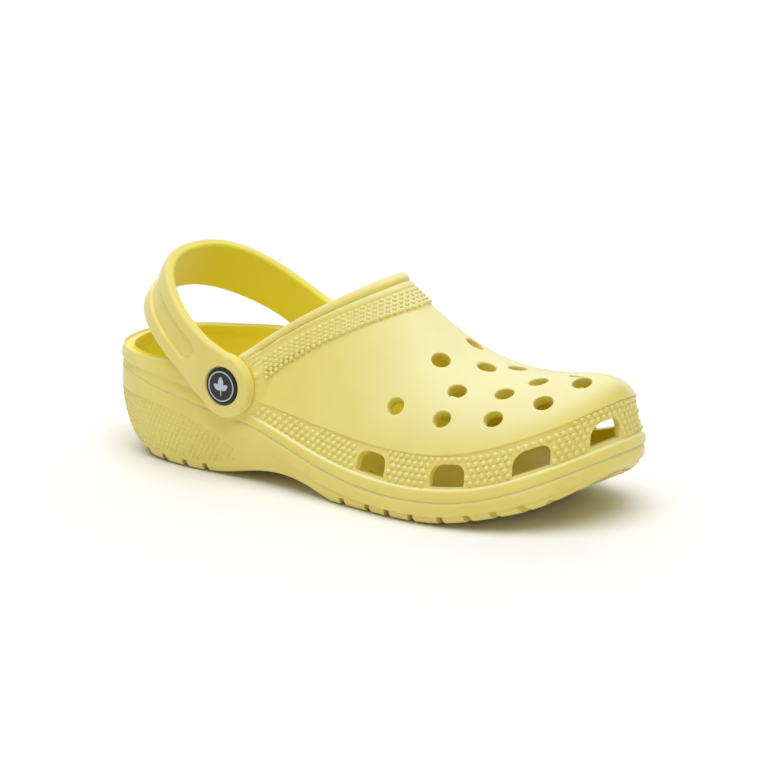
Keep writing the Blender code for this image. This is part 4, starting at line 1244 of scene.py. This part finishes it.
wear(foam, foamSkinFinish)
at, out, size = (np.concatenate(part) for part in zip(*forefootNubs(), *collarNubs(), *panelNubs()))
ahead = np.tile((1, 0, 0), (len(at), 1))
foamNubs = spread("foamNubs", (at + np.array(shift), out, ahead, size), material=foamSkinFinish)
# painted sheen on the nubs' upward faces too
markPaintedSheen(foamNubs)
strap = makeStrap()
wear(strap, strapFinish)
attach(foam, "clog")
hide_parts("clog_body")
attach(foamNubs, "clog")
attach(strap, "strap")
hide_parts("heel_strap")
for side, label, ending in ((-1, "Outer", "right"), (1, "Inner", "left")):
    stud, badge, cap, printed = makeRivet(side, label)
    for thing, finish, slot, replaced in (
        (stud, studFinish, "rivet_nylon", "rivet_stud_"), (badge, badgeFinish, "badge", "rivet_badge_"),
        (cap, capFinish, "cap_nylon", "rivet_cap_"), (printed, inkFinish, "badge", None),
    ):
        wear(thing, finish)
        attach(thing, "clog")
        if replaced:
            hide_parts(replaced + ending)
print("rivets made")


# floor, light and camera

stage = {
    "floorSide": 8.0, "sunStrength": 2.2, "sunAngle": 60, "sunFrom": (0.1, -0.2, 1.0), "worldStrength": 0.32,
    "glowStrength": 0.7, "glowAngle": 60, "glowFrom": (-0.5, 0.9, 0.7),
    "target": (0.00638, 0.00105, 0.043), "azimuth": 35, "elevation": 14.5, "distance": 1.7, "lens": 179.3,
}


def makeStage():
    work = bmesh.new()
    s = stage["floorSide"] / 2
    work.faces.new([work.verts.new(p) for p in ((-s, -s, 0), (s, -s, 0), (s, s, 0), (-s, s, 0))])
    floor = fromWork(work, "studioFloor")
    if floor.data.polygons[0].normal.z < 0:
        floor.data.flip_normals()
    moveIn(floor, Vector((0, 0, -0.0004)))
    wear(floor, floorFinish())


def addSun(name, kind):
    sun = bpy.data.lights.new(name, "SUN")
    sun.energy, sun.angle = stage[kind + "Strength"], radians(stage[kind + "Angle"])
    addObject(name, sun).rotation_euler = Vector(stage[kind + "From"]).to_track_quat("Z", "Y").to_euler()


def makeLights():
    addSun("softSun", "sun")
    addSun("backGlow", "glow")
    world = bpy.data.worlds.new("white room")
    bpy.context.scene.world = world
    world.use_nodes = True
    background = world.node_tree.nodes["Background"]
    background.inputs["Color"].default_value = (1, 1, 1, 1)
    background.inputs["Strength"].default_value = stage["worldStrength"]
    bpy.context.scene.view_settings.view_transform = "Standard"


def makeCamera():
    a, e = radians(stage["azimuth"]), radians(stage["elevation"])
    back = Vector((sin(a) * cos(e), -cos(a) * cos(e), sin(e)))
    camera = addObject("camera", bpy.data.cameras.new("camera"))
    camera.data.lens, camera.data.sensor_width = stage["lens"], 36
    camera.data.clip_end = 20
    camera.location = Vector(stage["target"]) + back * stage["distance"]
    camera.rotation_euler = back.to_track_quat("Z", "Y").to_euler()
    bpy.context.scene.camera = camera


makeStage()
makeLights()
makeCamera()
